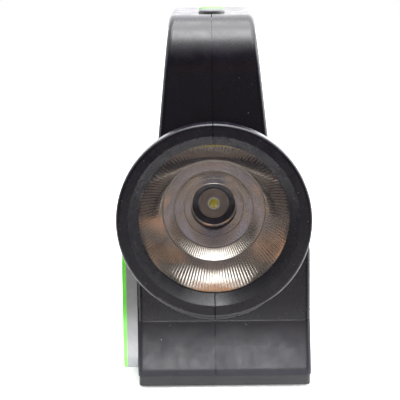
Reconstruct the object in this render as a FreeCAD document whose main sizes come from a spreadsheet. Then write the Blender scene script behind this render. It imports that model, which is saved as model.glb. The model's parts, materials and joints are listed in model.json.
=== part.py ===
"""Hand-held signal searchlight: a clam-shell lamp with a front spot beam, a side panel and a loop handle.

Frame: +Z up, the beam points along -Y, X = 0 is the joint plane of the two shells, and the origin is on
the base pad's resting face. Millimetres.
"""

import FreeCAD
import Part

import math
import os

import Sketcher
from FreeCAD import Placement, Rotation, Vector

PARTS_FOLDER = "parts"
X_AXIS, Y_AXIS, Z_AXIS = Vector(1, 0, 0), Vector(0, 1, 0), Vector(0, 0, 1)
FAR = 300.0  # longer than any part, for cuts that run right through

DRIVING_DIMENSIONS = [
    ("axis_height", 96, "optical axis above the resting face"),
    ("bezel_front", -100, "front plane of the head, along Y"),
    ("bezel_radius", 49.4, "outside of the head ring"),
    ("bezel_depth", 11, "length of the head ring"),
    ("bezel_opening", 43.2, "inner radius of the ring's flat front"),
    ("lens_window", 38.2, "free radius of the front lens"),
    ("lens_recess", 6.2, "front lens behind the front plane"),
    ("lens_radius", 40, "edge of the front lens"),
    ("lens_thickness", 2.2, "front lens"),
    ("gasket_thickness", 1.2, "flat ring behind the lens"),
    ("flange_thickness", 1.6, "reflector's front flange"),
    ("reflector_back", -47.8, "back face of the reflector's floor, along Y"),
    ("reflector_floor", 1.4, "thickness of the reflector's floor"),
    ("reflector_neck", 12.2, "radius of the reflector's neck"),
    ("reflector_hole", 8.2, "hole for the emitter"),
    ("reflector_wall", 1.3, "reflector's wall"),
    ("reflector_focus", 9.2, "focal length of the reflector's curve"),
    ("reflector_step", 0.9, "width of the reflector's ledges"),
    ("neck_radius", 44.2, "head barrel behind the ring"),
    ("neck_drop", 10, "how far the barrel's lower centre lies below the axis"),
    ("neck_back", -63, "end of the straight barrel, along Y"),
    ("bell_back", -30, "end of the tapered barrel, along Y"),
    ("bell_radius", 31, "radius of the tapered barrel at its end"),
    ("wall", 2.6, "shell wall"),
    ("seam", 0.25, "half of the visible joint line between the shells"),
    ("tongue", 1.2, "how far the right shell's tongue reaches into the left shell"),
    ("body_right", 50.8, "outer face of the right wall"),
    ("body_left", 41.4, "outer face of the left wall"),
    ("body_front", -64, "front wall above the toe, along Y"),
    ("toe_front", -72, "front of the toe, along Y"),
    ("toe_height", 10.5, "top of the toe's upright front"),
    ("crease_height", 35, "where the sloping toe meets the front wall"),
    ("body_back", 82, "rear wall, along Y"),
    ("shell_bottom", 7, "lower rim of the shells"),
    ("shoulder_height", 83, "top of the battery box"),
    ("spine_half_width", 33, "spine above the battery box"),
    ("strut_half_width", 29.8, "handle strut where it leaves the spine"),
    ("grip_half_width", 22.5, "handle at its top"),
    ("handle_top", 195, "top of the grip"),
    ("handle_back", 88, "rear of the handle, along Y"),
    ("edge_round", 3, "rounding of the shells' long edges"),
    ("pad_thickness", 1.6, "anti-slip pad under the base"),
    ("pad_side_inset", 10.5, "pad's long edges inside the shells' side walls"),
    ("pad_end_inset", 5, "pad's short edges inside the base cover's ends"),
    ("cover_gap", 0.5, "base cover's edge inside the shells"),
    ("cover_floor", 3, "floor of the base cover"),
    ("boss_radius", 4.6, "screw boss in the right shell"),
    ("pilot_radius", 1.5, "hole in the left shell's bosses"),
    ("head_radius", 3.3, "head of a shell screw"),
    ("shank_radius", 1.45, "shank of a shell screw"),
    ("head_seat", 8, "seat of the screw heads, from the joint plane"),
    ("panel_depth", 5.8, "side lamp frame, outwards from the left wall"),
    ("trim_depth", 2.2, "rim of the side lamp"),
    ("panel_rim", 3.2, "wall of the side lamp frame"),
    ("trim_width", 7, "face of the side lamp's rim"),
    ("trim_crown", 1500, "radius of the rim's crowned outer face"),
    ("side_lens_thickness", 1.4, "side lens"),
    ("side_board_thickness", 1.1, "side light-source board"),
    ("side_board_lift", 3, "side board's back face above the left wall"),
    ("side_source_size", 5, "one light source of the side lamp"),
    ("side_source_height", 1, "one light source of the side lamp"),
    ("side_source_pitch", 13.5, "spacing of the side light sources along Y"),
    ("side_source_first", -54, "first side light source, along Y"),
    ("side_source_low", 30, "lower row of side light sources"),
    ("side_source_high", 50, "upper row of side light sources"),
    ("battery_width", 70, "battery along X"),
    ("battery_length", 100, "battery along Y"),
    ("battery_height", 47, "battery along Z"),
    ("battery_left", -30, "battery's left face, along X"),
    ("battery_front", -40, "battery's front face, along Y"),
    ("battery_base", 9, "battery's underside"),
    ("tab_height", 5, "battery tabs above the battery"),
    ("shelf_thickness", 4, "shelves under the control board"),
    ("board_height", 64, "underside of the control board"),
    ("board_width", 48, "control board along X"),
    ("board_front", -14, "control board's front edge, along Y"),
    ("board_length", 62, "control board along Y"),
    ("board_thickness", 1.6, "circuit boards"),
    ("sink_radius", 23, "heat sink"),
    ("sink_front", -45.4, "front face of the heat sink, along Y"),
    ("sink_length", 18.4, "heat sink"),
    ("led_board_radius", 10.5, "front light-source board"),
    ("holder_radius", 8, "centring plate round the light source"),
    ("holder_flat", 6.9, "flats of the centring plate, from the axis"),
    ("emitter_radius", 4, "light-source body"),
    ("dome_radius", 2.8, "light-source dome"),
    ("switch_board_height", 181, "underside of the switch board"),
    ("button_travel", 1, "stroke of the push buttons"),
    ("button_gap", 0.3, "clearance round the push buttons"),
    ("button_proud", 1.8, "push buttons above the grip"),
    ("main_button_place", -2, "centre of the beam button, along Y"),
    ("side_button_place", 22, "centre of the side lamp button, along Y"),
    ("jack_place", 12, "charging jack, along X"),
    ("jack_height", 30, "charging jack above the resting face"),
    ("door_pin_height", 41, "hinge pin of the jack door"),
    ("door_pin_back", 80.6, "hinge pin of the jack door, along Y"),
    ("door_pin_radius", 0.75, "hinge pin of the jack door"),
    ("wire_radius", 0.9, "insulated wires"),
    ("jack_tab_side", 3, "solder tabs of the jack, either side of its axis"),
    ("jack_pad_depth", 8, "thick part of the rear wall that carries the jack"),
    ("door_half_width", 8.7, "half of the jack door's width"),
    ("door_drop", 21, "jack door below its hinge pin"),
    ("indicator_radius", 1.6, "light pipe of a charge indicator"),
    ("main_button_reach", 12, "half of the beam button's length"),
    ("side_button_reach", 7, "half of the side lamp button's length"),
    ("button_half_width", 7, "half of the push buttons' width"),
    ("switch_case_height", 4.4, "case of a tact switch"),
    ("plunger_radius", 1.7, "plunger of a tact switch"),
    ("plunger_proud", 1.4, "plunger above its case"),
    ("switch_screw_side", 6, "screws of the switch board, along X in the right shell"),
    ("board_pilot", 0.85, "pilot hole of a circuit board screw"),
    ("board_screw_length", 4.5, "shank of a circuit board screw"),
    ("post_radius", 4, "post for a base cover screw"),
    ("post_height", 12, "post for a base cover screw"),
    ("post_pilot", 1.3, "pilot hole of a base cover screw"),
    ("cover_head_room", 2.9, "counterbore in the base cover"),
    ("cover_head_depth", 2.8, "counterbore in the base cover"),
    ("cover_shank_room", 1.6, "clearance hole in the base cover"),
]

doc = FreeCAD.newDocument("signal_searchlight")


def fill_sheet():
    """The spreadsheet of driving dimensions, one alias a row."""
    sheet = doc.addObject("Spreadsheet::Sheet", "dims")
    for row, (alias, value, meaning) in enumerate(DRIVING_DIMENSIONS, start=1):
        sheet.set(f"A{row}", meaning)
        sheet.set(f"B{row}", str(value))
        sheet.setAlias(f"B{row}", alias)
    doc.recompute()
    return sheet


dims = fill_sheet()


class Sizes:
    """Reads a driving dimension from the sheet, as sizes.wall."""

    def __getattr__(self, alias):
        return float(dims.get(alias))


sizes = Sizes()
shapes = {}  # node name -> the document object that holds its solid


# ---------------------------------------------------------------- parametric helpers


def number(expression):
    """Value of an expression over the sheet's aliases."""
    return float(dims.evalExpression(expression))


def bind(item, **expressions):
    """Ties properties of a document object to the sheet: bind(box, Length="dims.wall")."""
    for name, expression in expressions.items():
        item.setExpression(name, expression)
    return item


def place(item, x="0", y="0", z="0", rotation=None):
    """Places a primitive at coordinates given as expressions."""
    if rotation is not None:
        item.Placement = Placement(Vector(0, 0, 0), rotation)
    for axis, expression in (("x", x), ("y", y), ("z", z)):
        item.setExpression(f"Placement.Base.{axis}", expression)
    return item


def keep(item, label):
    """Marks a document object as the finished sub-part of that name."""
    item.Label = label
    shapes[label] = item
    return item


def box(name, x, y, z):
    """Part::Box between two coordinates on each axis, all as expressions."""
    item = doc.addObject("Part::Box", name)
    lengths = [f"({high}) - ({low})" for low, high in (x, y, z)]
    bind(item, Length=lengths[0], Width=lengths[1], Height=lengths[2])
    return place(item, x[0], y[0], z[0])


ALONG = {
    "x": Rotation(Z_AXIS, X_AXIS),
    "y": Rotation(Z_AXIS, Y_AXIS),
    "z": Rotation(),
}


def rod(name, axis, radius, start, end, x="0", y="0", z="0"):
    """Part::Cylinder along an axis, from start to end, with its axis through the other two coordinates."""
    item = doc.addObject("Part::Cylinder", name)
    bind(item, Radius=radius, Height=f"({end}) - ({start})")
    where = {"x": x, "y": y, "z": z}
    where[axis] = start
    return place(item, where["x"], where["y"], where["z"], ALONG[axis])


def cut(name, base, tool):
    item = doc.addObject("Part::Cut", name)
    item.Base, item.Tool = base, tool
    return item


def join(name, *items):
    item = doc.addObject("Part::MultiFuse", name)
    item.Shapes = list(items)
    return item


def common(name, first, second):
    item = doc.addObject("Part::MultiCommon", name)
    item.Shapes = [first, second]
    return item


def group_of(name, items):
    """Separate solids that share one node."""
    item = doc.addObject("Part::Compound", name)
    item.Links = list(items)
    return item


def new_body(label):
    return keep(doc.addObject("PartDesign::Body", label), label)


def sketch_on(body, name, role, offset="0"):
    """Sketch on one of the body's own origin planes, moved along the plane's normal."""
    sketch = body.newObject("Sketcher::SketchObject", name)
    plane = [f for f in body.Origin.OriginFeatures if f.Role == role][0]
    sketch.AttachmentSupport = (plane, [""])
    sketch.MapMode = "FlatFace"
    sketch.setExpression("AttachmentOffset.Base.z", offset)
    return sketch


def pin_point(sketch, geometry, point, u, v):
    """Fixes a sketch point at coordinates given as expressions."""
    for kind, expression in (("DistanceX", u), ("DistanceY", v)):
        index = sketch.addConstraint(
            Sketcher.Constraint(kind, -1, 1, geometry, point, number(expression))
        )
        sketch.setExpression(f"Constraints[{index}]", expression)


def add_polygon(sketch, corners):
    """Closed polygon through corners given as pairs of expressions."""
    ends = [Vector(number(u), number(v), 0) for u, v in corners]
    first = sketch.GeometryCount
    count = len(corners)
    for i in range(count):
        sketch.addGeometry(Part.LineSegment(ends[i], ends[(i + 1) % count]))
    for i in range(count):
        after = first + (i + 1) % count
        sketch.addConstraint(Sketcher.Constraint("Coincident", first + i, 2, after, 1))
    for i, (u, v) in enumerate(corners):
        pin_point(sketch, first + i, 1, u, v)


def add_rectangle(sketch, u, v):
    """Rectangle between two expressions on each axis."""
    add_polygon(sketch, [(u[0], v[0]), (u[1], v[0]), (u[1], v[1]), (u[0], v[1])])


def add_circle(sketch, u, v, radius):
    centre = Vector(number(u), number(v), 0)
    index = sketch.addGeometry(Part.Circle(centre, Z_AXIS, number(radius)))
    pin_point(sketch, index, 3, u, v)
    held = sketch.addConstraint(Sketcher.Constraint("Radius", index, number(radius)))
    sketch.setExpression(f"Constraints[{held}]", radius)


def pad(body, sketch, length, reverse=False):
    feature = body.newObject("PartDesign::Pad", sketch.Name + "_pad")
    feature.Profile = sketch
    feature.Reversed = reverse
    bind(feature, Length=length)
    doc.recompute()
    return feature


def pocket(body, sketch, depth, reverse=False):
    """Pocket that must take material away: a wrong direction is reported at once."""
    before = body.Shape.Volume
    feature = body.newObject("PartDesign::Pocket", sketch.Name + "_pocket")
    feature.Profile = sketch
    feature.Reversed = reverse
    bind(feature, Length=depth)
    doc.recompute()
    if body.Shape.Volume > before - 1e-3:
        raise ValueError(f"{feature.Name} cuts nothing")
    return feature


def turn_about(body, sketch, height):
    """Full revolution of a sketch in the YZ plane about a line along Y at that height."""
    start, end = Vector(-1, number(height), 0), Vector(1, number(height), 0)
    index = sketch.addGeometry(Part.LineSegment(start, end), True)
    pin_point(sketch, index, 1, "-1", height)
    pin_point(sketch, index, 2, "1", height)
    feature = body.newObject("PartDesign::Revolution", sketch.Name + "_turn")
    feature.Profile = sketch
    feature.ReferenceAxis = (sketch, ["Axis0"])
    feature.Angle = 360
    doc.recompute()
    return feature


def edge_names(shape, wanted):
    """Names of the edges for which wanted(edge) is true."""
    return [f"Edge{i}" for i, edge in enumerate(shape.Edges, start=1) if wanted(edge)]


def round_edges(body, radius, wanted, kind="Fillet"):
    """PartDesign fillet or chamfer on the chosen edges of a body's tip."""
    tip = body.Tip
    feature = body.newObject(f"PartDesign::{kind}", f"{body.Name}_{kind.lower()}")
    feature.Base = (tip, edge_names(tip.Shape, wanted))
    bind(feature, **{"Radius" if kind == "Fillet" else "Size": radius})
    doc.recompute()
    return feature


def is_along(axis):
    """Test for straight edges parallel to an axis."""

    def wanted(edge):
        return isinstance(edge.Curve, Part.Line) and abs(edge.Curve.Direction.dot(axis)) > 0.999

    return wanted


def at_level(axis, level):
    """Test for edges that lie in a plane square to an axis."""

    def wanted(edge):
        return all(abs(v.Point.dot(axis) - level) < 1e-4 for v in edge.Vertexes)

    return wanted


# ---------------------------------------------------------------- helpers for free shapes

PLANES = {
    "XY": lambda u, v: Vector(u, v, 0),
    "XZ": lambda u, v: Vector(u, 0, v),
    "YZ": lambda u, v: Vector(0, u, v),
}


def rounded_outline(corners, plane):
    """Closed wire through corners (u, v, radius), each rounded by its radius."""
    to_space = PLANES[plane]
    count = len(corners)
    edges, joints = [], []
    for i, (u, v, radius) in enumerate(corners):
        here = to_space(u, v)
        before = to_space(*corners[i - 1][:2])
        after = to_space(*corners[(i + 1) % count][:2])
        back, ahead = (before - here).normalize(), (after - here).normalize()
        half_turn = (math.pi - back.getAngle(ahead)) / 2
        if radius < 1e-6:
            joints.append((here, here))
            continue
        reach = radius * math.tan(half_turn)
        start, end = here + back * reach, here + ahead * reach
        inward = (back + ahead).normalize()
        middle = here + inward * (radius / math.cos(half_turn) - radius)
        edges.append(Part.Arc(start, middle, end).toShape())
        joints.append((start, end))
    for i in range(count):
        start, end = joints[i][1], joints[(i + 1) % count][0]
        if start.distanceToPoint(end) > 1e-6:
            edges.append(Part.LineSegment(start, end).toShape())
    return Part.Wire(Part.__sortEdges__(edges))


def face_of(wire, grow=0.0):
    """Plane face inside a wire, grown outwards or shrunk by a distance."""
    face = Part.Face(wire)
    if abs(grow) < 1e-9:
        return face
    return Part.Face(face.makeOffset2D(grow, 0, False, False, False).Wires[0])


def prism(face, axis, start, end):
    """Solid swept by a face, moved from its own plane to start and extruded to end."""
    moved = face.copy()
    moved.translate(axis * start)
    return moved.extrude(axis * (end - start))


def turned(profile):
    """Solid turned about the optical axis from corners (y, radius)."""
    points = [Vector(0, y, sizes.axis_height + radius) for y, radius in profile]
    face = Part.Face(Part.makePolygon(points + points[:1]))
    return face.revolve(Vector(0, 0, sizes.axis_height), Y_AXIS, 360)


def cylinder(axis, radius, start, end, centre):
    """Cylinder along an axis from start to end; centre gives the other two coordinates."""
    base = Vector(centre)
    base += axis * (start - base.dot(axis))
    return Part.makeCylinder(radius, end - start, base, axis)


def block(x, y, z):
    """Box between two numbers on each axis."""
    low = Vector(x[0], y[0], z[0])
    return Part.makeBox(x[1] - x[0], y[1] - y[0], z[1] - z[0], low)


def feature(label, shape):
    """Part::Feature for a sub-part whose shape is made with Part's own functions."""
    item = doc.addObject("Part::Feature", label)
    item.Shape = shape
    item.Placement = Placement()
    return keep(item, label)


# ---------------------------------------------------------------- the housing's outer and inner forms


def side_outline():
    """Lamp seen from the side: toe, front wall, leaning strut, grip and rear wall, as (y, z, radius)."""
    s = sizes
    return [
        (s.toe_front, s.shell_bottom, 0),
        (s.toe_front, s.toe_height, 4),
        (s.body_front, s.crease_height, 2),
        (s.body_front, s.axis_height, 60),
        (s.body_front + 13.5, s.handle_top, 34),
        (s.handle_back, s.handle_top, 30),
        (s.body_back, s.shoulder_height - 4, 60),
        (s.body_back, s.shell_bottom, 0),
    ]


def finger_outline():
    """Hole of the handle seen from the side, as (y, z, radius)."""
    s = sizes
    return [
        (s.body_front + 37, s.handle_top - 70, 11),
        (s.body_front + 45, s.handle_top - 27, 12),
        (s.handle_back - 26, s.handle_top - 30, 14),
        (s.handle_back - 28, s.handle_top - 85, 13),
    ]


def front_outline(bottom):
    """Lamp seen from the front: battery box, spine and tapering handle, as (x, z, radius)."""
    s = sizes
    strut_root = s.shoulder_height + 41
    top = s.handle_top + 1
    return [
        (-s.body_left, bottom, 0),
        (s.body_right, bottom, 0),
        (s.body_right, s.shoulder_height, 11),
        (s.spine_half_width, s.shoulder_height, 5),
        (s.strut_half_width, strut_root, 100),
        (s.grip_half_width, top, 0),
        (-s.grip_half_width, top, 0),
        (-s.strut_half_width, strut_root, 100),
        (-s.spine_half_width, s.shoulder_height, 3),
        (-s.body_left, s.shoulder_height, 5),
    ]


def body_and_handle(inset):
    """Battery box, spine and handle: where the side view and the front view, each shrunk by inset, meet."""
    s = sizes
    lowered = [(y, z - 2 * inset if z <= s.shell_bottom else z, r) for y, z, r in side_outline()]
    side = prism(face_of(rounded_outline(lowered, "YZ"), -inset), X_AXIS, -FAR / 2, FAR / 2)
    fingers = prism(face_of(rounded_outline(finger_outline(), "YZ"), inset), X_AXIS, -FAR / 2, FAR / 2)
    front_wire = rounded_outline(front_outline(s.shell_bottom - 2 * inset), "XZ")
    front = prism(face_of(front_wire, -inset), Y_AXIS, -FAR / 2, FAR / 2)
    return side.cut(fingers).common(front)


def barrel_outline(radius):
    """Upright rounded slot: the head barrel's section."""
    s = sizes
    low = s.axis_height - s.neck_drop - radius
    high = s.axis_height + radius
    corner_round = radius - 1e-4
    corners = [(-radius, low), (radius, low), (radius, high), (-radius, high)]
    return rounded_outline([(x, z, corner_round) for x, z in corners], "XZ")


def bell(inset):
    """Tapered barrel between the head and the spine."""
    s = sizes
    middle = (s.neck_back + s.bell_back) / 2
    swell = 2.5
    start = Vector(0, s.neck_back, s.axis_height + s.neck_radius - inset)
    belly = Vector(0, middle, s.axis_height + (s.neck_radius + s.bell_radius) / 2 + swell - inset)
    end = Vector(0, s.bell_back, s.axis_height + s.bell_radius - inset)
    on_axis = [Vector(0, p.y, s.axis_height) for p in (end, start)]
    edges = [
        Part.Arc(start, belly, end).toShape(),
        Part.LineSegment(end, on_axis[0]).toShape(),
        Part.LineSegment(on_axis[0], on_axis[1]).toShape(),
        Part.LineSegment(on_axis[1], start).toShape(),
    ]
    return Part.Face(Part.Wire(edges)).revolve(Vector(0, 0, s.axis_height), Y_AXIS, 360)


def head_ring():
    """Ring round the front lens, solid inside, with a rounded outer edge."""
    s = sizes
    back = s.bezel_front + s.bezel_depth
    ring = turned(
        [
            (s.bezel_front, 0),
            (s.bezel_front, s.bezel_radius),
            (back, s.bezel_radius),
            (back, 0),
        ]
    )
    front_round, back_round = 1.9, 0.8
    for level, radius in ((s.bezel_front, front_round), (back, back_round)):
        edges = [e for e in ring.Edges if at_level(Y_AXIS, level)(e) and len(e.Vertexes) == 1]
        ring = ring.makeFillet(radius, edges)
    return ring


def barrel(inset, front):
    """Straight head barrel from front to where the bell starts, with a rounded front edge outside."""
    s = sizes
    solid = prism(face_of(barrel_outline(s.neck_radius - inset)), Y_AXIS, front, s.neck_back)
    if inset == 0:
        rim = [e for e in solid.Edges if at_level(Y_AXIS, front)(e)]
        solid = solid.makeFillet(s.edge_round, rim)
    return solid


def outer_form():
    """The closed outside of both shells together."""
    s = sizes
    block_and_grip = round_long_edges(body_and_handle(0))
    neck_front = s.bezel_front + s.bezel_depth - 0.4
    return block_and_grip.fuse([barrel(0, neck_front), bell(0), head_ring()]).removeSplitter()


def round_long_edges(solid):
    """Rounds the edges where the side view's faces meet the front view's faces."""
    s = sizes

    def from_front_view(face, point):
        u, v = face.Surface.parameter(point)
        normal = face.normalAt(u, v)
        is_level = abs(normal.z) > 0.999
        return abs(point.z - s.shoulder_height) < 1e-3 if is_level else abs(normal.y) < 1e-3

    def wanted(edge):
        middle = edge.valueAt((edge.FirstParameter + edge.LastParameter) / 2)
        if edge.BoundBox.ZMax < s.shell_bottom + 1e-3:
            return False
        faces = solid.ancestorsOfType(edge, Part.Face)
        return from_front_view(faces[0], middle) != from_front_view(faces[1], middle)

    return solid.makeFillet(s.edge_round, [e for e in solid.Edges if wanted(e)])


def lens_seat():
    """Room for the lens, its gasket and the reflector's flange, open to the front."""
    s = sizes
    lens_front = s.bezel_front + s.lens_recess
    gasket_front = lens_front + s.lens_thickness
    flange_front = gasket_front + s.gasket_thickness
    flange_back = flange_front + s.flange_thickness
    slope = (s.bezel_opening - s.lens_window) / s.lens_recess
    outside = 1.0
    return turned(
        [
            (s.bezel_front - outside, 0),
            (s.bezel_front - outside, s.bezel_opening + slope * outside),
            (lens_front, s.lens_window),
            (lens_front, s.lens_radius + 0.2),
            (flange_front, s.lens_radius + 0.2),
            (flange_front, s.lens_radius + 1.9),
            (flange_back + 0.1, s.lens_radius + 1.9),
            (flange_back + 0.1, s.lens_radius - 0.4),
            (flange_back + 2.1, s.lens_radius - 0.4),
            (flange_back + 2.1, 0),
        ]
    )


def cavity_back_of_flange():
    """Front end of the wide barrel cavity, behind the ring that backs the reflector's flange."""
    s = sizes
    return s.bezel_front + s.lens_recess + s.lens_thickness + s.gasket_thickness + s.flange_thickness + 2.0


def inner_form(inset):
    """The hollow of both shells together, at a depth below the outside."""
    return body_and_handle(inset).fuse([barrel(inset, cavity_back_of_flange()), bell(inset)])


# ---------------------------------------------------------------- details of the two shells


def shell_screw_places():
    """Where the screws join the shells, as (y, z)."""
    s = sizes
    return [
        (s.toe_front + 10.5, s.shell_bottom + 7.5),
        (s.body_back - 8.5, s.shell_bottom + 7.5),
        (s.body_back - 8.5, s.shoulder_height - 10),
        (s.body_front + 10, s.axis_height - 44),
        (s.body_front + 22, s.axis_height + 40),
        (s.body_front + 27, s.handle_top - 17),
        (s.handle_back - 17, s.handle_top - 17),
        (s.handle_back - 15, s.handle_top - 78),
        (s.handle_back - 72, s.handle_top - 87),
    ]


def post_places():
    """Posts for the base cover's screws, as (x, y)."""
    s = sizes
    right, left = s.body_right - 6, -s.body_left + 6
    return [(x, y) for x in (right, left) for y in (s.body_front + 20, s.body_back - 18)]


def across(radius, start, end, y, z):
    """Cylinder along X."""
    return cylinder(X_AXIS, radius, start, end, Vector(0, y, z))


def cradle_ribs(outer):
    """Two upright ribs that hold the heat sink, open at the bottom for its leads."""
    s = sizes
    rib, lead_gap = 2.0, 9.0
    low, high = s.battery_base + s.battery_height + 5, s.axis_height + 10
    front_rib = (s.sink_front + 1, s.sink_radius + 0.2)
    back_rib = (s.sink_front + s.sink_length + 0.2, s.sink_radius - 6)
    ribs = []
    for start, radius in (front_rib, back_rib):
        plate = block((-FAR / 2, FAR / 2), (start, start + rib), (low, high)).common(outer)
        window = cylinder(Y_AXIS, radius, start - 1, start + rib + 1, Vector(0, 0, s.axis_height))
        slot = block((-lead_gap, lead_gap), (start - 1, start + rib + 1), (low - 1, s.axis_height))
        ribs.append(plate.cut(window.fuse(slot)))
    return ribs


SHELF_REACH = 3.5  # how far the control board lies on its shelves


def shelves(outer):
    """Supports inside the walls: board shelves, battery stops and the switch board's ledges."""
    s = sizes
    board_back = s.board_front + s.board_length
    battery_back = s.battery_front + s.battery_length
    shelf_length, ledge_half_length, ledge_height = 4, 1.5, 4.5
    stop_thickness, stop_overlap = 2.6, 12
    shelf_z = (s.board_height - s.shelf_thickness, s.board_height)
    stop_z = (s.battery_base + 3, s.battery_base + 41)
    blocks = []
    for side in (1, -1):
        inner, far = side * (s.board_width / 2 - SHELF_REACH), side * FAR / 2
        across_board = (min(inner, far), max(inner, far))
        for start in (s.board_front + 1, board_back - 1 - shelf_length):
            blocks.append(block(across_board, (start, start + shelf_length), shelf_z))
        wall_face = s.body_right if side > 0 else -s.body_left
        stop_tip = wall_face - side * (s.wall + stop_overlap)
        beside_battery = (min(stop_tip, far), max(stop_tip, far))
        for start in (s.battery_front - 0.4 - stop_thickness, battery_back + 0.4):
            blocks.append(block(beside_battery, (start, start + stop_thickness), stop_z))
    ledge_z = (s.switch_board_height - ledge_height, s.switch_board_height)
    for place in switch_ledge_places():
        ledge_y = (place - ledge_half_length, place + ledge_half_length)
        blocks.append(block((-FAR / 2, FAR / 2), ledge_y, ledge_z))
    return [item.common(outer) for item in blocks]


def switch_ledge_places():
    """The two ledges under the switch board, along Y."""
    s = sizes
    return s.main_button_place - 17.5, s.side_button_place + 7.5


def board_screw_places():
    """Screws of the control board and of the switch board, as (x, y, top of the board)."""
    s = sizes
    inset = 2.0
    rows = s.board_front + 3, s.board_front + s.board_length - 3
    top = s.board_height + s.board_thickness
    switch_top = s.switch_board_height + s.board_thickness
    control = [(side * (s.board_width / 2 - inset), y, top) for side in (1, -1) for y in rows]
    return control + [(s.switch_screw_side, y, switch_top) for y in switch_ledge_places()]


def button_places():
    """Push buttons as (name, centre along Y, half length)."""
    s = sizes
    return [
        ("main_button", s.main_button_place, s.main_button_reach),
        ("side_button", s.side_button_place, s.side_button_reach),
    ]


def button_oval(middle, half_length, grow, low, high):
    """Upright solid with a push button's rounded outline, grown all round, between two heights."""
    reach_x, reach_y = sizes.button_half_width + grow, half_length + grow
    round_radius = min(reach_x, reach_y) - 1e-4
    corners = [
        (-reach_x, middle - reach_y, round_radius),
        (reach_x, middle - reach_y, round_radius),
        (reach_x, middle + reach_y, round_radius),
        (-reach_x, middle + reach_y, round_radius),
    ]
    return prism(face_of(rounded_outline(corners, "XY")), Z_AXIS, low, high)


def button_openings():
    """Slots through the grip's top wall for the push buttons."""
    s = sizes
    low, high = s.handle_top - s.wall - 1, s.handle_top + 1
    slots = [button_oval(middle, reach, s.button_gap, low, high) for _, middle, reach in button_places()]
    return Part.makeCompound(slots)


JACK_RECESS = 2.5  # depth of the jack door's recess
JACK_BARREL = 4.25  # radius of the jack's barrel
PIN_HALF_LENGTH = 10.1  # half of the jack door's hinge pin


def jack_block():
    """Thick pad inside the rear wall that carries the charging jack and its door."""
    s = sizes
    x, z = s.jack_place, s.jack_height
    half_width, below, above, skin = 11, 14, 16, 0.5
    deep = (s.body_back - s.jack_pad_depth, s.body_back - skin)
    return block((x - half_width, x + half_width), deep, (z - below, z + above))


def jack_cuts():
    """Recess for the jack door, deeper round its knuckle, the jack's hole and the pin's hole."""
    s = sizes
    x, z, back = s.jack_place, s.jack_height, s.body_back
    side_gap, knuckle_gap, pin_fit = 0.3, 2.6, 0.02
    half_width = s.door_half_width + side_gap
    across_door = (x - half_width, x + half_width)
    top = s.door_pin_height + knuckle_gap
    low = s.door_pin_height - s.door_drop - 0.4
    recess = block(across_door, (back - JACK_RECESS, back + 2), (low, top))
    knuckle_room = block(across_door, (s.door_pin_back - 2, back + 2), (s.door_pin_height - 2.2, top))
    hole = cylinder(Y_AXIS, JACK_BARREL + 0.15, back - s.jack_pad_depth - 1, back, Vector(x, 0, z))
    pin_half = PIN_HALF_LENGTH + 0.1
    pin_radius = s.door_pin_radius + pin_fit
    pin_hole = across(pin_radius, x - pin_half, x + pin_half, s.door_pin_back, s.door_pin_height)
    return recess.fuse([knuckle_room, hole, pin_hole])


def indicator_places():
    """Charge indicators above the jack door, as (x, z)."""
    s = sizes
    spread, above = 4, 22
    return [(s.jack_place + side, s.jack_height + above) for side in (-spread, spread)]


def side_panel_outline():
    """Side lamp seen from the side, as (y, z, radius)."""
    s = sizes
    low, high = s.shell_bottom + 2, s.shoulder_height - 6
    return [
        (s.toe_front + 4, low, 6),
        (s.body_front + 1.5, s.crease_height + 1, 45),
        (s.body_front + 4, high, 14),
        (s.body_back - 11, high, 16),
        (s.body_back - 4, low, 11),
    ]


def panel_face(inset):
    """Side lamp's outline shrunk by inset."""
    return face_of(rounded_outline(side_panel_outline(), "YZ"), -inset)


def panel_screw_places():
    """Screws that hold the side lamp's frame, as (y, z)."""
    s = sizes
    low, high = s.shell_bottom + 10.5, s.shoulder_height - 14.5
    front, back = s.body_front + 14, s.body_back - 21
    return [(front - 6, low + 4.5), (front, high), (back, high), (back + 9, low + 9.5)]


def right_recess():
    """Shallow panel on the right wall, with grip ribs left standing in it."""
    s = sizes
    deep, below_wall, inset = 1.0, 0.2, 7
    panel = prism(panel_face(inset), X_AXIS, s.body_right - deep, s.body_right + 1)
    ribs = []
    rib_count, pitch, half_width, tip_round = 5, 9.0, 2.0, 1.9
    low, high = s.shell_bottom + 16, s.shoulder_height - 20
    middle = (s.body_front + s.body_back) / 2
    for i in range(rib_count):
        y = middle + (i - (rib_count - 1) / 2) * pitch
        sides = (y - half_width, y + half_width)
        corners = [(sides[0], low), (sides[1], low), (sides[1], high), (sides[0], high)]
        rib = face_of(rounded_outline([(u, v, tip_round) for u, v in corners], "YZ"))
        ribs.append(prism(rib, X_AXIS, s.body_right - deep - 1, s.body_right - below_wall))
    return panel.cut(ribs)


def posts_on(side):
    """Posts for the base cover's screws that stand in one shell."""
    s = sizes
    top = s.shell_bottom + s.post_height
    return [
        cylinder(Z_AXIS, s.post_radius, s.shell_bottom, top, Vector(x, y, 0))
        for x, y in post_places()
        if (x > 0) == (side == "right")
    ]


def upright_holes():
    """Pilot holes for the base cover's screws and for the circuit boards' screws."""
    s = sizes
    low, high = s.shell_bottom - 1, s.shell_bottom + s.post_height - 2
    holes = [cylinder(Z_AXIS, s.post_pilot, low, high, Vector(x, y, 0)) for x, y in post_places()]
    for x, y, top in board_screw_places():
        holes.append(cylinder(Z_AXIS, s.board_pilot, top - s.board_screw_length - 1, top, Vector(x, y, 0)))
    return holes


def right_screw_holes():
    """Clearance holes and countersunk wells for the heads of the screws that join the shells."""
    s = sizes
    well, clear = s.head_radius + 0.4, s.shank_radius + 0.3
    wells = [across(well, s.head_seat, FAR / 2, y, z) for y, z in shell_screw_places()]
    return wells + [across(clear, -1, FAR / 2, y, z) for y, z in shell_screw_places()]


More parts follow.
